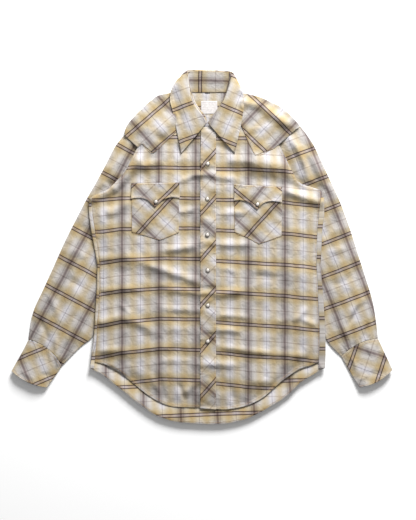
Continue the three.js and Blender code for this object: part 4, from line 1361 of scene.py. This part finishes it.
    def build(self) -> None:
        """Lay both fronts, then the yokes and the placket on them."""
        for piece in (self.right(), self.left(), self.yoke(Side.RIGHT),
                      self.yoke(Side.LEFT), self.placket()):
            piece.build(self.material, "plaid_cotton")


@dataclass
class ChestPocket:
    """A bias patch pocket with a pointed foot, under a scalloped flap."""

    side: Side
    material: bpy.types.Material
    edge_pucker: float = 0.3 * MM

    def pocket(self) -> FlatPiece:
        """The patch, sewn down on three sides."""
        right = self.side is Side.RIGHT
        name = "pocket_right" if right else "pocket_left"
        outline = chain(POCKET_RIGHT if right else POCKET_LEFT)
        sewn = Pucker(outline, self.edge_pucker, 7 * MM, 6 * MM, 0.3)
        return FlatPiece(name, outline, 0.7 if right else 1.7, GRAINS[name],
                         [0, 1, 3, 4, 5], step=2 * MM, puckers=[sewn],
                         rests_on=["front_right_cloth" if right else "front_left_cloth"])

    def flap(self) -> FlatPiece:
        """The flap, sewn down along its top and closed by a snap at its point."""
        right = self.side is Side.RIGHT
        name = "flap_right" if right else "flap_left"
        outline = chain(FLAP_RIGHT if right else FLAP_LEFT)
        top = np.array([outline[0], outline[-1]])
        sewn = Pucker(top, 0.4 * MM, 7 * MM, 5 * MM, 1.3)
        ends = [0, 1, 6, len(outline) - 2, len(outline) - 1]

        def curl(points: Points) -> np.ndarray:
            """The scallops' edge stands a little off the pocket."""
            near = nearest_on(points, outline[1:-1])
            return 1.0 * MM * np.exp(-((near.distance / (3.6 * MM)) ** 2))

        return FlatPiece(name, outline, 1.7 if right else 2.7, GRAINS[name], ends,
                         step=1.6 * MM, wall=1.3 * MM, puckers=[sewn], lift=curl,
                         rests_on=["pocket_right_cloth" if right else "pocket_left_cloth"])

    def stitch(self, sewing: "Sewing") -> None:
        """Stitch the pocket's three sewn sides and round the flap."""
        pocket, flap = self.pocket(), self.flap()
        sewing.on_piece(pocket, beside(pocket.outline, 2.5 * MM)[:-1])
        sewing.on_piece(flap, beside(flap.outline[1:-1], 2.8 * MM))
        top = np.array([flap.outline[0], flap.outline[-1]])
        sewing.on_piece(flap, beside(top, -3 * MM))

    def tack(self, sewing: "Sewing") -> None:
        """Tack the flap's two upper corners with a few short dark stitches."""
        flap = self.flap()
        for corner, way in ((flap.outline[0], 1), (flap.outline[-1], -1)):
            for step in range(4):
                x = corner[0] + way * (1 + 0.8 * step) * MM
                y = corner[1] + (0.4 - 1.1 * (step % 2)) * MM
                sewing.on_piece(flap, np.array([(x, y - 3.4 * MM), (x, y)]))

    def build(self) -> None:
        """Lay the pocket and its flap."""
        self.pocket().build(self.material, "plaid_cotton")
        self.flap().build(self.material, "plaid_cotton")


@dataclass
class Back:
    """The back, which wraps to the front on both sides, and the back yoke."""

    material: bpy.types.Material
    columns: int = 190
    rows: int = 120
    lip_share: float = 0.05
    wall: float = 0.9 * MM

    def panel_points(self, across: np.ndarray, rise: np.ndarray) -> np.ndarray:
        """Places on the back below the armpits.

        Args:
            across: From 0 at the right side seam to 1 at the left one.
            rise: From 0 at the hem to 1 at the armpits.

        Returns:
            The places, one a row.
        """
        lip = self.lip_share
        flat = np.clip((across - lip) / (1 - 2 * lip), 0, 1)
        hem_x = BACK_HEM["x"][0] + (BACK_HEM["x"][-1] - BACK_HEM["x"][0]) * flat
        hem_y = look_up(BACK_HEM, "x", "y", hem_x)
        y = hem_y + (ARMPIT_Y - hem_y) * rise
        right = look_up(SIDES, "y", "right_fold", y)
        left = look_up(SIDES, "y", "left_fold", y)
        x = right + (left - right) * flat
        z = RELIEF.back(np.stack([x, y], axis=1))
        points = np.stack([x, y, z], axis=1)
        for side, fold, column, layer in ((1, right, "right_seam", 0),
                                          (-1, left, "left_seam", 1)):
            turned = (lip - across if side == 1 else across - (1 - lip)) / lip
            on_lip = turned > 0
            seam = look_up(SIDES, "y", column, y)
            seam_place = np.stack([seam, y], axis=1)
            low = RELIEF.back(np.stack([fold, y], axis=1))
            high = RELIEF.front(seam_place) + layer * LAYER + WALL
            high = np.maximum(high, low + 2 * WALL + EDGE_HOLLOW)
            radius = np.minimum((high - low) / 2, np.abs(seam - fold) * 0.6)
            angle = np.clip(turned / 0.55, 0, 1) * math.pi
            inward = side * (1 - np.sin(angle)) * radius
            run = np.clip((turned - 0.55) / 0.45, 0, 1)
            straight = np.abs(seam - fold) - radius
            lip_x = fold + inward + side * straight * run
            lip_z = low + (high - low) * (1 - np.cos(angle)) / 2
            points[on_lip, 0] = lip_x[on_lip]
            points[on_lip, 2] = lip_z[on_lip]
        return points

    def lower(self) -> tuple[bpy.types.Mesh, np.ndarray]:
        """The back below the armpits, with its cloth coordinates."""
        mesh = to_mesh(grid_between(self.columns, self.rows), "back")
        grid = mesh_points(mesh)
        points = self.panel_points(grid[:, 0], grid[:, 1])
        hem = Pucker(chain(BACK_HEM), 0.5 * MM, 9 * MM, 9 * MM, 2.7)
        points[:, 2] += hem.heights(points[:, :2]) + 0.5 * MM
        set_mesh_points(mesh, points)
        unrolled = points[:, :2].copy()
        lip = self.lip_share
        for side in (1, -1):
            turned = (lip - grid[:, 0] if side == 1 else grid[:, 0] - (1 - lip)) / lip
            unrolled[:, 0] -= side * np.where(turned > 0, 2 * turned * 12 * MM, 0)
        return mesh, GRAINS["back"].place(unrolled)

    def stitch(self, sewing: "Sewing") -> None:
        """Stitch the back's hem."""
        hem = beside(chain(BACK_HEM)[1:-1], 4 * MM)
        height = RELIEF.back(hem) + self.wall + 0.6 * MM
        sewing.runs.append(np.column_stack([hem, height]))

    def build(self) -> None:
        """Lay the back and the back yoke."""
        mesh, cloth = self.lower()
        mesh.flip_normals()
        set_cloth_map(mesh, cloth)
        back = add_object("back_cloth", mesh, self.material, replaces=["back"],
                          slot="plaid_cotton")
        give_wall(back, self.wall)
        upper = FlatPiece("back_upper", np.concatenate([
            [(-256 * MM, ARMPIT_Y - 4 * MM), (276 * MM, ARMPIT_Y - 4 * MM)],
            chain(ARMHOLE_LEFT)[1:9],
            [(197 * MM, BACK_YOKE_SEAM_Y), (-165 * MM, BACK_YOKE_SEAM_Y)],
            chain(ARMHOLE_RIGHT)[1:6][::-1],
        ]), 0, GRAINS["back"], [0, 1, 10, 11], step=5 * MM, on_back=True)
        outline = upper.outline
        bm = cut_grid(outline, upper.step, outline[[0, 1, 10, 11]])
        upper_mesh = to_mesh(bm, "back_upper")
        points = mesh_points(upper_mesh)
        points[:, 2] = upper.top(points[:, :2]) - 0.3 * MM
        set_mesh_points(upper_mesh, points)
        set_cloth_map(upper_mesh, GRAINS["back"].place(points[:, :2]))
        over = add_object("back_upper_cloth", upper_mesh, self.material, slot="plaid_cotton")
        give_wall(over, self.wall)
        self.yoke().build(self.material, "plaid_cotton")

    def yoke(self) -> FlatPiece:
        """The back yoke, whose inside shows in the neck."""
        outline = np.concatenate([
            np.array([(-164, 214.2), (198, 214.2), (184, 245.3)]) * MM,
            chain(SHOULDER_LEFT),
            np.array([(66, 378), (20, 377.5), (-32, 378)]) * MM,
            chain(SHOULDER_RIGHT)[::-1],
            np.array([(-154, 238.8)]) * MM,
        ])
        neck = Pucker(np.array([(-32, 376), (20, 376), (62, 376)]) * MM, 0.5 * MM, 9 * MM,
                      14 * MM, 0.7)
        return FlatPiece("back_yoke", outline, 0, GRAINS["back_yoke"], [0, 1, 3], step=3 * MM,
                         on_back=True, puckers=[neck],
                         rests_on=["sleeve_right_cloth", "sleeve_left_cloth"])


def tube_mesh(name: str, columns: int, rows: int,
              place: Callable[[np.ndarray, np.ndarray], np.ndarray]) -> bpy.types.Mesh:
    """A tube open at both ends, rolled from a grid.

    Args:
        name: The mesh's name.
        columns: Cells round the tube.
        rows: Cells along it.
        place: Where the share round and the share along put each point.

    Returns:
        The closed-up mesh.
    """
    bm = grid_between(columns, rows)
    shares = np.array([(v.co.x, v.co.y) for v in bm.verts])
    for vertex, point in zip(bm.verts, place(shares[:, 0], shares[:, 1])):
        vertex.co = Vector(point)
    bmesh.ops.remove_doubles(bm, verts=bm.verts, dist=0.02 * MM)
    bmesh.ops.recalc_face_normals(bm, faces=bm.faces)
    return to_mesh(bm, name)


@dataclass
class Sleeve:
    """A long sleeve, laid out flat and tucked under the body, with its gathered cuff."""

    side: Side
    material: bpy.types.Material
    columns: int = 116
    rows: int = 150
    cuff_columns: int = 96
    cuff_rows: int = 44
    gather: float = 1.1 * MM
    gather_reach: float = 20 * MM
    wall: float = 0.8 * MM
    cuff_wall: float = 1.3 * MM
    cuff_rise: float = 6 * MM

    @property
    def word(self) -> str:
        """The side's name."""
        return self.side.name.lower()

    def ring(self, rows: Table, around: np.ndarray, along: np.ndarray,
             height: Callable[[Points, np.ndarray, Table], np.ndarray],
             relief: Callable[[Points, np.ndarray, np.ndarray], np.ndarray],
             rise: float = 0.0) -> np.ndarray:
        """Places on a flattened tube: flat underneath, rounded at both edges.

        Args:
            rows: The table of edge points.
            around: The share round, from the outer edge over the top and back underneath.
            along: The share along.
            height: Height of the top at a place, a share of the width and a row.
            relief: What to add to the top.
            rise: How far the far end stands off the table.

        Returns:
            The places, one a row.
        """
        row = smooth_rows(rows, along)
        angle = around * 2 * math.pi
        share = (1 - np.cos(angle)) / 2
        axis_x = row["inner_y"] - row["outer_y"]
        axis_y = row["outer_x"] - row["inner_x"]
        length = np.hypot(axis_x, axis_y)
        sign = np.where(axis_y < 0, -1.0, 1.0)
        bow = row["bow"] * 4 * share * (1 - share) * sign / length
        x = row["outer_x"] + (row["inner_x"] - row["outer_x"]) * share + axis_x * bow
        y = row["outer_y"] + (row["inner_y"] - row["outer_y"]) * share + axis_y * bow
        places = np.stack([x, y], axis=1)
        top = height(places, share, row)
        sine = np.sin(angle)
        up = 0.5 + 0.5 * np.sign(sine) * np.abs(sine) ** 0.42
        over = np.clip(sine * 3, 0, 1)
        z = top * up + relief(places, along, share) * over
        return np.stack([x, y, np.maximum(z, 0) + rise * along**2], axis=1)

    def sleeve_height(self, places: Points, share: np.ndarray, row: Table) -> np.ndarray:
        """Flat where the body lies on it, puffed up beyond the body's edge."""
        covered = is_inside(places, BODY_OUTLINE)
        away = np.min([nearest_on(places, line).distance for line in COVER_LINES], axis=0)
        at_armhole = ease((places[:, 1] - 90 * MM) / (70 * MM))
        margin = PUFF_MARGIN * (1 - at_armhole) + 1 * MM
        blend = PUFF_BLEND + (ARMHOLE_BLEND - PUFF_BLEND) * at_armhole
        free = ease((np.where(covered, 0, away) - margin) / blend)
        edge = 0.55 + 0.45 * ease(np.minimum(share, 1 - share) / 0.16)
        return SLEEVE_UNDER + np.maximum(0, row["puff"] * edge - SLEEVE_UNDER) * free

    def sleeve_relief(self, places: Points, along: np.ndarray,
                      share: np.ndarray) -> np.ndarray:
        """Creases, soft dents and the gathers at the cuff."""
        covered = is_inside(places, BODY_OUTLINE)
        soft = sum(dents.heights(places) for dents in SLEEVE_DENTS)
        to_cuff = (1 - along) * 0.56
        ripple = uneven_wave(share * 0.12, 11 * MM, 0.9 + self.side.value)
        gathers = self.gather * np.exp(-to_cuff / self.gather_reach) * ripple
        total = creases(places, SLEEVE_CREASES) + soft * MM * 0.8 + gathers
        return np.where(covered, 0, total)

    def cuff_height(self, places: Points, share: np.ndarray, row: Table) -> np.ndarray:
        """A firm double layer, a little thinner at both edges."""
        return row["puff"] * (0.62 + 0.38 * ease(np.minimum(share, 1 - share) / 0.2))

    def cuff_relief(self, places: Points, along: np.ndarray,
                    share: np.ndarray) -> np.ndarray:
        """Creases, and the ripples of the stitched edges."""
        ripple = uneven_wave(share * 0.11, 8 * MM, 1.4 * self.side.value)
        ends = np.exp(-((np.minimum(along, 1 - along) * 90 * MM / (7 * MM)) ** 2))
        soft = crumple(places, 12 * MM, 3.1) * 0.35 * MM
        return creases(places, CUFF_CREASES) + 0.45 * MM * ripple * ends + soft

    def stitch(self, sewing: "Sewing") -> None:
        """Stitch both ends of the cuff."""
        rows = CUFF_RIGHT if self.side is Side.RIGHT else CUFF_LEFT
        around = np.linspace(0.04, 0.46, 60)
        for share in (0.07, 0.93):
            sewing.runs.append(self.ring(rows, around, np.full(60, share),
                                         self.cuff_height, self.cuff_relief,
                                         self.cuff_rise))

    def build(self) -> None:
        """Make the sleeve and the cuff."""
        right = self.side is Side.RIGHT
        for kind, rows, columns, lines, height, relief, wall, rise in (
            ("sleeve", SLEEVE_RIGHT if right else SLEEVE_LEFT, self.columns, self.rows,
             self.sleeve_height, self.sleeve_relief, self.wall, 0.0),
            ("cuff", CUFF_RIGHT if right else CUFF_LEFT, self.cuff_columns, self.cuff_rows,
             self.cuff_height, self.cuff_relief, self.cuff_wall, self.cuff_rise),
        ):
            name = f"{kind}_{self.word}"

            def place(around: np.ndarray, along: np.ndarray) -> np.ndarray:
                """Put the grid's points on this tube."""
                return self.ring(rows, around, along, height, relief, rise)

            mesh = tube_mesh(name, columns, lines, place)
            points = mesh_points(mesh)
            set_cloth_map(mesh, GRAINS[name].place(points[:, :2]))
            obj = add_object(f"{name}_cloth", mesh, self.material, replaces=[name],
                             slot="plaid_cotton")
            give_wall(obj, wall)


@dataclass
class Collar:
    """The pointed collar leaf, rolled over its stand, and what is sewn inside the neck."""

    finishes: Finishes
    leaf_rows: int = 260
    leaf_columns: int = 44
    wall: float = 1.2 * MM
    tuck: float = 0.1

    def leaf_points(self, along: np.ndarray, across: np.ndarray) -> np.ndarray:
        """Places on the leaf, from a short tuck behind the roll line to the free edge."""
        row = smooth_rows(LEAF, along)
        roll, bend, edge = (np.stack([row[f"{k}_x"], row[f"{k}_y"], row[f"{k}_z"]], axis=1)
                            for k in ("roll", "bend", "edge"))
        t = np.clip((across - self.tuck) / (1 - self.tuck), 0, 1) * 2
        first = t < 1
        f = np.where(first, t, t - 1)[:, None]
        tangent = (edge - roll) / 2
        a = np.where(first[:, None], roll, bend)
        b = np.where(first[:, None], bend, edge)
        ta = np.where(first[:, None], bend - roll, tangent)
        tb = np.where(first[:, None], tangent, edge - bend)
        points = (a * (2 * f**3 - 3 * f**2 + 1) + ta * (f**3 - 2 * f**2 + f)
                  + b * (3 * f**2 - 2 * f**3) + tb * (f**3 - f**2))
        back = np.clip(1 - across / self.tuck, 0, 1)[:, None]
        inward = roll - bend
        inward /= np.maximum(np.hypot(inward[:, 0], inward[:, 1]), 1e-6)[:, None]
        inward[:, 2] = 0
        points = points + inward * 1.6 * MM * np.sin(back * math.pi / 2)
        points[:, 2:] -= 2.6 * MM * (1 - np.cos(back * math.pi / 2))
        return points

    def dressed_leaf(self, grid: Points) -> np.ndarray:
        """Places on the leaf laid on the shirt, with the ripples of its stitched edges."""
        points = self.leaf_points(grid[:, 0], grid[:, 1])
        front = ease((np.abs(grid[:, 0] - 0.5) - 0.2) / 0.1)
        near_edge = np.exp(-((1 - grid[:, 1]) / 0.22) ** 2)
        ripple = uneven_wave(grid[:, 0] * 0.62, 9 * MM, 0.5) * near_edge
        tip = np.exp(-(np.minimum(grid[:, 0], 1 - grid[:, 0]) / 0.02) ** 2)
        soft = crumple(points[:, :2], 11 * MM, 0.9) * 0.35
        under = points[:, :2]
        layers = np.where(under[:, 0] < PLACKET_EDGE_X, 0.7, 2.0)
        body = RELIEF.front(under) + layers * LAYER + WALL
        at_front = 0.4 * ease((0.075 - np.minimum(grid[:, 0], 1 - grid[:, 0])) / 0.07)
        lying = front * np.maximum(ease((grid[:, 1] - 0.3) / 0.5), at_front)
        to_edge = np.minimum(grid[:, 0], 1 - grid[:, 0])
        open_edge = ease((0.16 - to_edge) / 0.13) * ease((1.02 - grid[:, 1]) / 0.5)
        lying = lying * (1 - 0.85 * open_edge)
        close = np.minimum(points[:, 2], body + self.wall + 0.3 * MM)
        points[:, 2] += (close - points[:, 2]) * lying
        bead = 0.8 * np.exp(-((1 - grid[:, 1]) / 0.045) ** 2)
        points[:, 2] += (0.5 * ripple * (1 - tip) + soft + bead) * MM * front
        return points

    def stitch(self, sewing: "Sewing") -> None:
        """Stitch round the leaf's edge."""
        down = np.linspace(0.14, 0.95, 40)
        for ends in ((0.012, 0.34), (0.988, 0.66)):
            front = np.stack([np.full(40, ends[0]), down], axis=1)
            side = np.stack([np.linspace(ends[0], ends[1], 60), np.full(60, 0.955)], axis=1)
            sewing.runs.append(self.dressed_leaf(front))
            sewing.runs.append(self.dressed_leaf(side))

    def leaf(self) -> None:
        """The leaf's mesh and cloth."""
        mesh = to_mesh(grid_between(self.leaf_rows, self.leaf_columns), "collar_leaf")
        points = self.dressed_leaf(mesh_points(mesh)[:, :2])
        set_mesh_points(mesh, points)
        mesh.flip_normals()
        right = GRAINS["collar_right"].place(points[:, :2])
        left = GRAINS["collar_left"].place(points[:, :2])
        set_cloth_map(mesh, np.where(points[:, :1] < 20 * MM, right, left))
        obj = add_object("collar_leaf_cloth", mesh, self.finishes.plaid,
                         replaces=["collar_leaf"], slot="plaid_cotton")
        give_wall(obj, self.wall)

    def stand(self) -> None:
        """The stand, whose inside shows at the back of the neck."""
        mesh = to_mesh(grid_between(200, 24), "collar_stand")
        grid = mesh_points(mesh)
        row = smooth_rows(STAND, grid[:, 0])
        t = grid[:, 1]
        points = np.stack([row[f"seam_{k}"] + (row[f"top_{k}"] - row[f"seam_{k}"]) * t
                           for k in "xyz"], axis=1)
        points[:, 2] += np.sin(math.pi * t) * 0.3 * MM
        points[:, 2] += crumple(points[:, :2], 9 * MM, 2.2) * 0.4 * MM * np.sin(math.pi * t)
        set_mesh_points(mesh, points)
        steps = np.linspace(0, 1, 401)
        top = smooth_rows(STAND, steps)
        run = np.concatenate([[0], np.cumsum(np.hypot(np.diff(top["top_x"]),
                                                      np.diff(top["top_y"])))])
        corners = [np.interp(number / 19, steps, run) for number in (8, 12)]
        here = np.interp(grid[:, 0], steps, run)
        along = np.where(here < corners[0], here - corners[0] - 33 * MM,
                         np.where(here > corners[1], here - corners[1] + 69.5 * MM,
                                  points[:, 0]))
        unrolled = np.stack([t * 50 * MM - 27.5 * MM, along + 4.3 * MM], axis=1)
        mesh.flip_normals()
        set_cloth_map(mesh, unrolled)
        obj = add_object("collar_stand_cloth", mesh, self.finishes.plaid,
                         replaces=["collar_stand"], slot="plaid_cotton")
        give_wall(obj, 0.6 * MM)

    def labels(self) -> None:
        """The neck label and the size tag, both without lettering."""
        flat = Grain(turn=0, weft=0, warp=0)
        for name, rows, material, slot in (
            ("label", LABEL_CORNERS, self.finishes.label, "label_cloth"),
            ("size_tag", SIZE_TAG_CORNERS, self.finishes.tag, "tag_cloth"),
        ):
            outline = chain(rows)
            FlatPiece(name, outline, 0.4, flat, [0, 1, 2, 3], step=1.3 * MM, wall=0.5 * MM,
                      on_back=True, puckers=[Pucker(outline, 0.2 * MM, 6 * MM, 4 * MM)],
                      rests_on=["back_yoke_cloth"]).build(material, slot)

    def build(self) -> None:
        """Make the leaf, the stand and the labels."""
        self.leaf()
        self.stand()
        self.labels()


SNAPS = (
    ("snap_front_1", 14, 199, 2),
    ("snap_front_2", 13, 115, 2),
    ("snap_front_3", 13, 29, 2),
    ("snap_front_4", 14, -56, 2),
    ("snap_front_5", 14, -140, 2),
    ("snap_front_6", 14, -226, 2),
    ("snap_pocket_right", -110, 108, 2),
    ("snap_pocket_left", 133, 102, 3),
)


def beside(line: Points, distance: float) -> Points:
    """Shift a chain sideways, to the left of the way it runs.

    Args:
        line: The chain.
        distance: How far; to the right where it's negative.

    Returns:
        The shifted chain.
    """
    way = np.gradient(line, axis=0)
    way /= np.maximum(np.hypot(way[:, 0], way[:, 1]), 1e-9)[:, None]
    return line + distance * np.stack([-way[:, 1], way[:, 0]], axis=1)


@dataclass
class Sewing:
    """The topstitching: short strands laid end to end along the seams.

    Real stitches are 2.5 mm apart and 0.3 mm thick, too fine to show, so they are drawn
    3.4 mm apart and 0.7 mm thick.
    """

    material: bpy.types.Material
    pitch: float = 3.4 * MM
    length: float = 2.5 * MM
    radius: float = 0.34 * MM
    sides: int = 5
    runs: list[np.ndarray] = field(default_factory=list)

    def on_piece(self, piece: FlatPiece, line: Points) -> None:
        """Add a run of stitches along a line on a laid piece."""
        fine = rounded(line, self.pitch / 2)
        self.runs.append(np.column_stack([fine, piece.top(fine)]))

    def places(self, run: np.ndarray) -> tuple[np.ndarray, np.ndarray]:
        """Where each stitch of a run starts and ends."""
        steps = np.sqrt(np.sum(np.diff(run, axis=0) ** 2, axis=1))
        passed = np.concatenate([[0], np.cumsum(steps)])
        starts = np.arange(0, passed[-1] - self.length, self.pitch)
        ends = starts + self.length
        return tuple(np.stack([np.interp(at, passed, run[:, k]) for k in range(3)], axis=1)
                     for at in (starts, ends))

    def build(self, name: str) -> bpy.types.Object:
        """Make every stitch into one mesh."""
        bm = bmesh.new()
        for run in self.runs:
            for start, end in zip(*self.places(run)):
                way = Vector(end - start)
                middle = Vector((start + end) / 2)
                turn = way.to_track_quat("Z", "Y").to_matrix().to_4x4()
                bmesh.ops.create_cone(bm, cap_ends=True, segments=self.sides,
                                      radius1=self.radius, radius2=self.radius,
                                      depth=way.length,
                                      matrix=Matrix.Translation(middle) @ turn)
        return add_object(name, to_mesh(bm, name), self.material)


@dataclass
class PearlSnap:
    """A pearl snap: a domed cap held by a plated ring with teeth turned under."""

    name: str
    x: float
    y: float
    layer: int
    ring_radius: float = 5.2 * MM
    cap_radius: float = 3.9 * MM
    height: float = 2.5 * MM
    segments: int = 40

    def spun(self, profile: Sequence[tuple[float, float]]) -> bmesh.types.BMesh:
        """Turn a profile of radius and height about the snap's axis."""
        bm = bmesh.new()
        verts = [bm.verts.new((r, 0, z)) for r, z in profile]
        edges = [bm.edges.new(pair) for pair in zip(verts, verts[1:])]
        bmesh.ops.spin(bm, geom=[*verts, *edges], cent=(0, 0, 0), axis=(0, 0, 1),
                       angle=2 * math.pi, steps=self.segments, use_merge=True)
        bmesh.ops.remove_doubles(bm, verts=bm.verts, dist=0.01 * MM)
        bmesh.ops.recalc_face_normals(bm, faces=bm.faces)
        return bm

    def base(self) -> float:
        """Height of the cloth under the snap."""
        angles = np.linspace(0, 2 * math.pi, 13)
        rim = np.stack([self.x * MM + self.ring_radius * np.cos(angles),
                        self.y * MM + self.ring_radius * np.sin(angles)], axis=1)
        return float(RELIEF.front(rim).max()) + self.layer * LAYER + WALL

    def build(self, finishes: Finishes) -> None:
        """Make the ring and the cap as one piece with two finishes."""
        r, c, h = self.ring_radius, self.cap_radius, self.height
        ring = self.spun([(0, 0), (r - 0.4 * MM, 0), (r, 0.35 * MM), (r, 0.8 * MM),
                          (r - 0.35 * MM, 1.25 * MM), (c + 0.1 * MM, 1.3 * MM),
                          (c - 0.2 * MM, 1.0 * MM), (0, 1.0 * MM)])
        dome = [(c * math.cos(a), 1.0 * MM + (h - 1.0 * MM) * math.sin(a))
                for a in np.linspace(0, math.pi / 2, 9)]
        cap = self.spun([(0, 1.0 * MM), *dome[:-1], (0, h)])
        for face in cap.faces:
            face.material_index = 1
        cap_mesh = to_mesh(cap, "cap")
        ring.from_mesh(cap_mesh)
        bpy.data.meshes.remove(cap_mesh)
        bmesh.ops.translate(ring, verts=ring.verts,
                            vec=(self.x * MM, self.y * MM, self.base()))
        mesh = to_mesh(ring, self.name)
        add_object(f"{self.name}_pearl", mesh, finishes.metal, finishes.pearl,
                   replaces=[self.name], slot="pearl_snap")


@dataclass
class Studio:
    """The pale table, the soft light and the camera over it."""

    middle: tuple[float, float] = (14.4 * MM, -31.2 * MM)
    frame_height: float = 1248 * MM
    camera_height: float = 3.6
    key_turn: float = 17.0
    key_rise: float = 27.0
    key_distance: float = 3.2
    key_power: float = 262.0
    key_size: float = 1.5
    sky_power: float = 0.37

    def floor(self) -> None:
        """A plain white table."""
        bm = bmesh.new()
        bmesh.ops.create_grid(bm, x_segments=1, y_segments=1, size=4.0)
        bmesh.ops.translate(bm, verts=bm.verts, vec=(0, 0, -0.2 * MM))
        mesh = to_mesh(bm, "studio_floor")
        obj = bpy.data.objects.new("studio_floor", mesh)
        bpy.context.scene.collection.objects.link(obj)
        material, tree = new_material("matt_white_table")
        shader = add_node(tree, "ShaderNodeBsdfPrincipled", {
            "Base Color": srgb("#f8f8f8"), "Roughness": 0.9, "Specular IOR Level": 0.1})
        finish_material(tree, shader)
        mesh.materials.append(material)

    def lights(self) -> None:
        """A broad key light from beyond the collar, and an even white surround."""
        lamp = bpy.data.lights.new("key", "AREA")
        lamp.shape = "DISK"
        lamp.energy = self.key_power
        lamp.size = self.key_size
        key = bpy.data.objects.new("key", lamp)
        rise, turn = math.radians(self.key_rise), math.radians(self.key_turn)
        towards = Vector((math.sin(turn) * math.cos(rise), math.cos(turn) * math.cos(rise),
                          math.sin(rise)))
        key.location = towards * self.key_distance
        key.rotation_euler = towards.to_track_quat("Z", "Y").to_euler()
        bpy.context.scene.collection.objects.link(key)
        world = bpy.data.worlds.new("surround")
        world.use_nodes = True
        world.node_tree.nodes.clear()
        sky = add_node(world.node_tree, "ShaderNodeBackground", {
            "Color": srgb("#ffffff"), "Strength": self.sky_power})
        add_node(world.node_tree, "ShaderNodeOutputWorld", {"Surface": sky.outputs[0]})
        bpy.context.scene.world = world

    def camera(self) -> None:
        """A long lens that looks straight down at the shirt."""
        lens = bpy.data.cameras.new("overhead")
        lens.sensor_width = 36
        lens.sensor_fit = "VERTICAL"
        lens.sensor_height = 36
        lens.lens = 36 * self.camera_height / self.frame_height
        lens.clip_end = 20
        obj = bpy.data.objects.new("overhead", lens)
        obj.location = (*self.middle, self.camera_height)
        bpy.context.scene.collection.objects.link(obj)
        bpy.context.scene.camera = obj

    def build(self) -> None:
        """Set the stage, with colours shown as they are."""
        self.floor()
        self.lights()
        self.camera()
        bpy.context.scene.view_settings.view_transform = "Standard"
        bpy.context.scene.view_settings.look = "None"


def main() -> None:
    """Build the shirt piece by piece, then the studio round it."""
    logging.basicConfig(level=logging.INFO, format="%(message)s")
    finishes = Finishes()
    seams = Sewing(finishes.thread)
    tacks = Sewing(finishes.dark_thread)
    Studio().build()
    back = Back(finishes.plaid)
    fronts = Fronts(finishes.plaid)
    collar = Collar(finishes)
    back.build()
    back.stitch(seams)
    fronts.build()
    fronts.stitch(seams)
    for side in Side:
        sleeve = Sleeve(side, finishes.plaid)
        sleeve.build()
        sleeve.stitch(seams)
        pocket = ChestPocket(side, finishes.plaid)
        pocket.build()
        pocket.stitch(seams)
        pocket.tack(tacks)
    collar.build()
    collar.stitch(seams)
    seams.build("topstitching")
    tacks.build("bar_tacks")
    for name, x, y, layer in SNAPS:
        PearlSnap(name, x, y, layer).build(finishes)


if __name__ == "__main__":
    main()
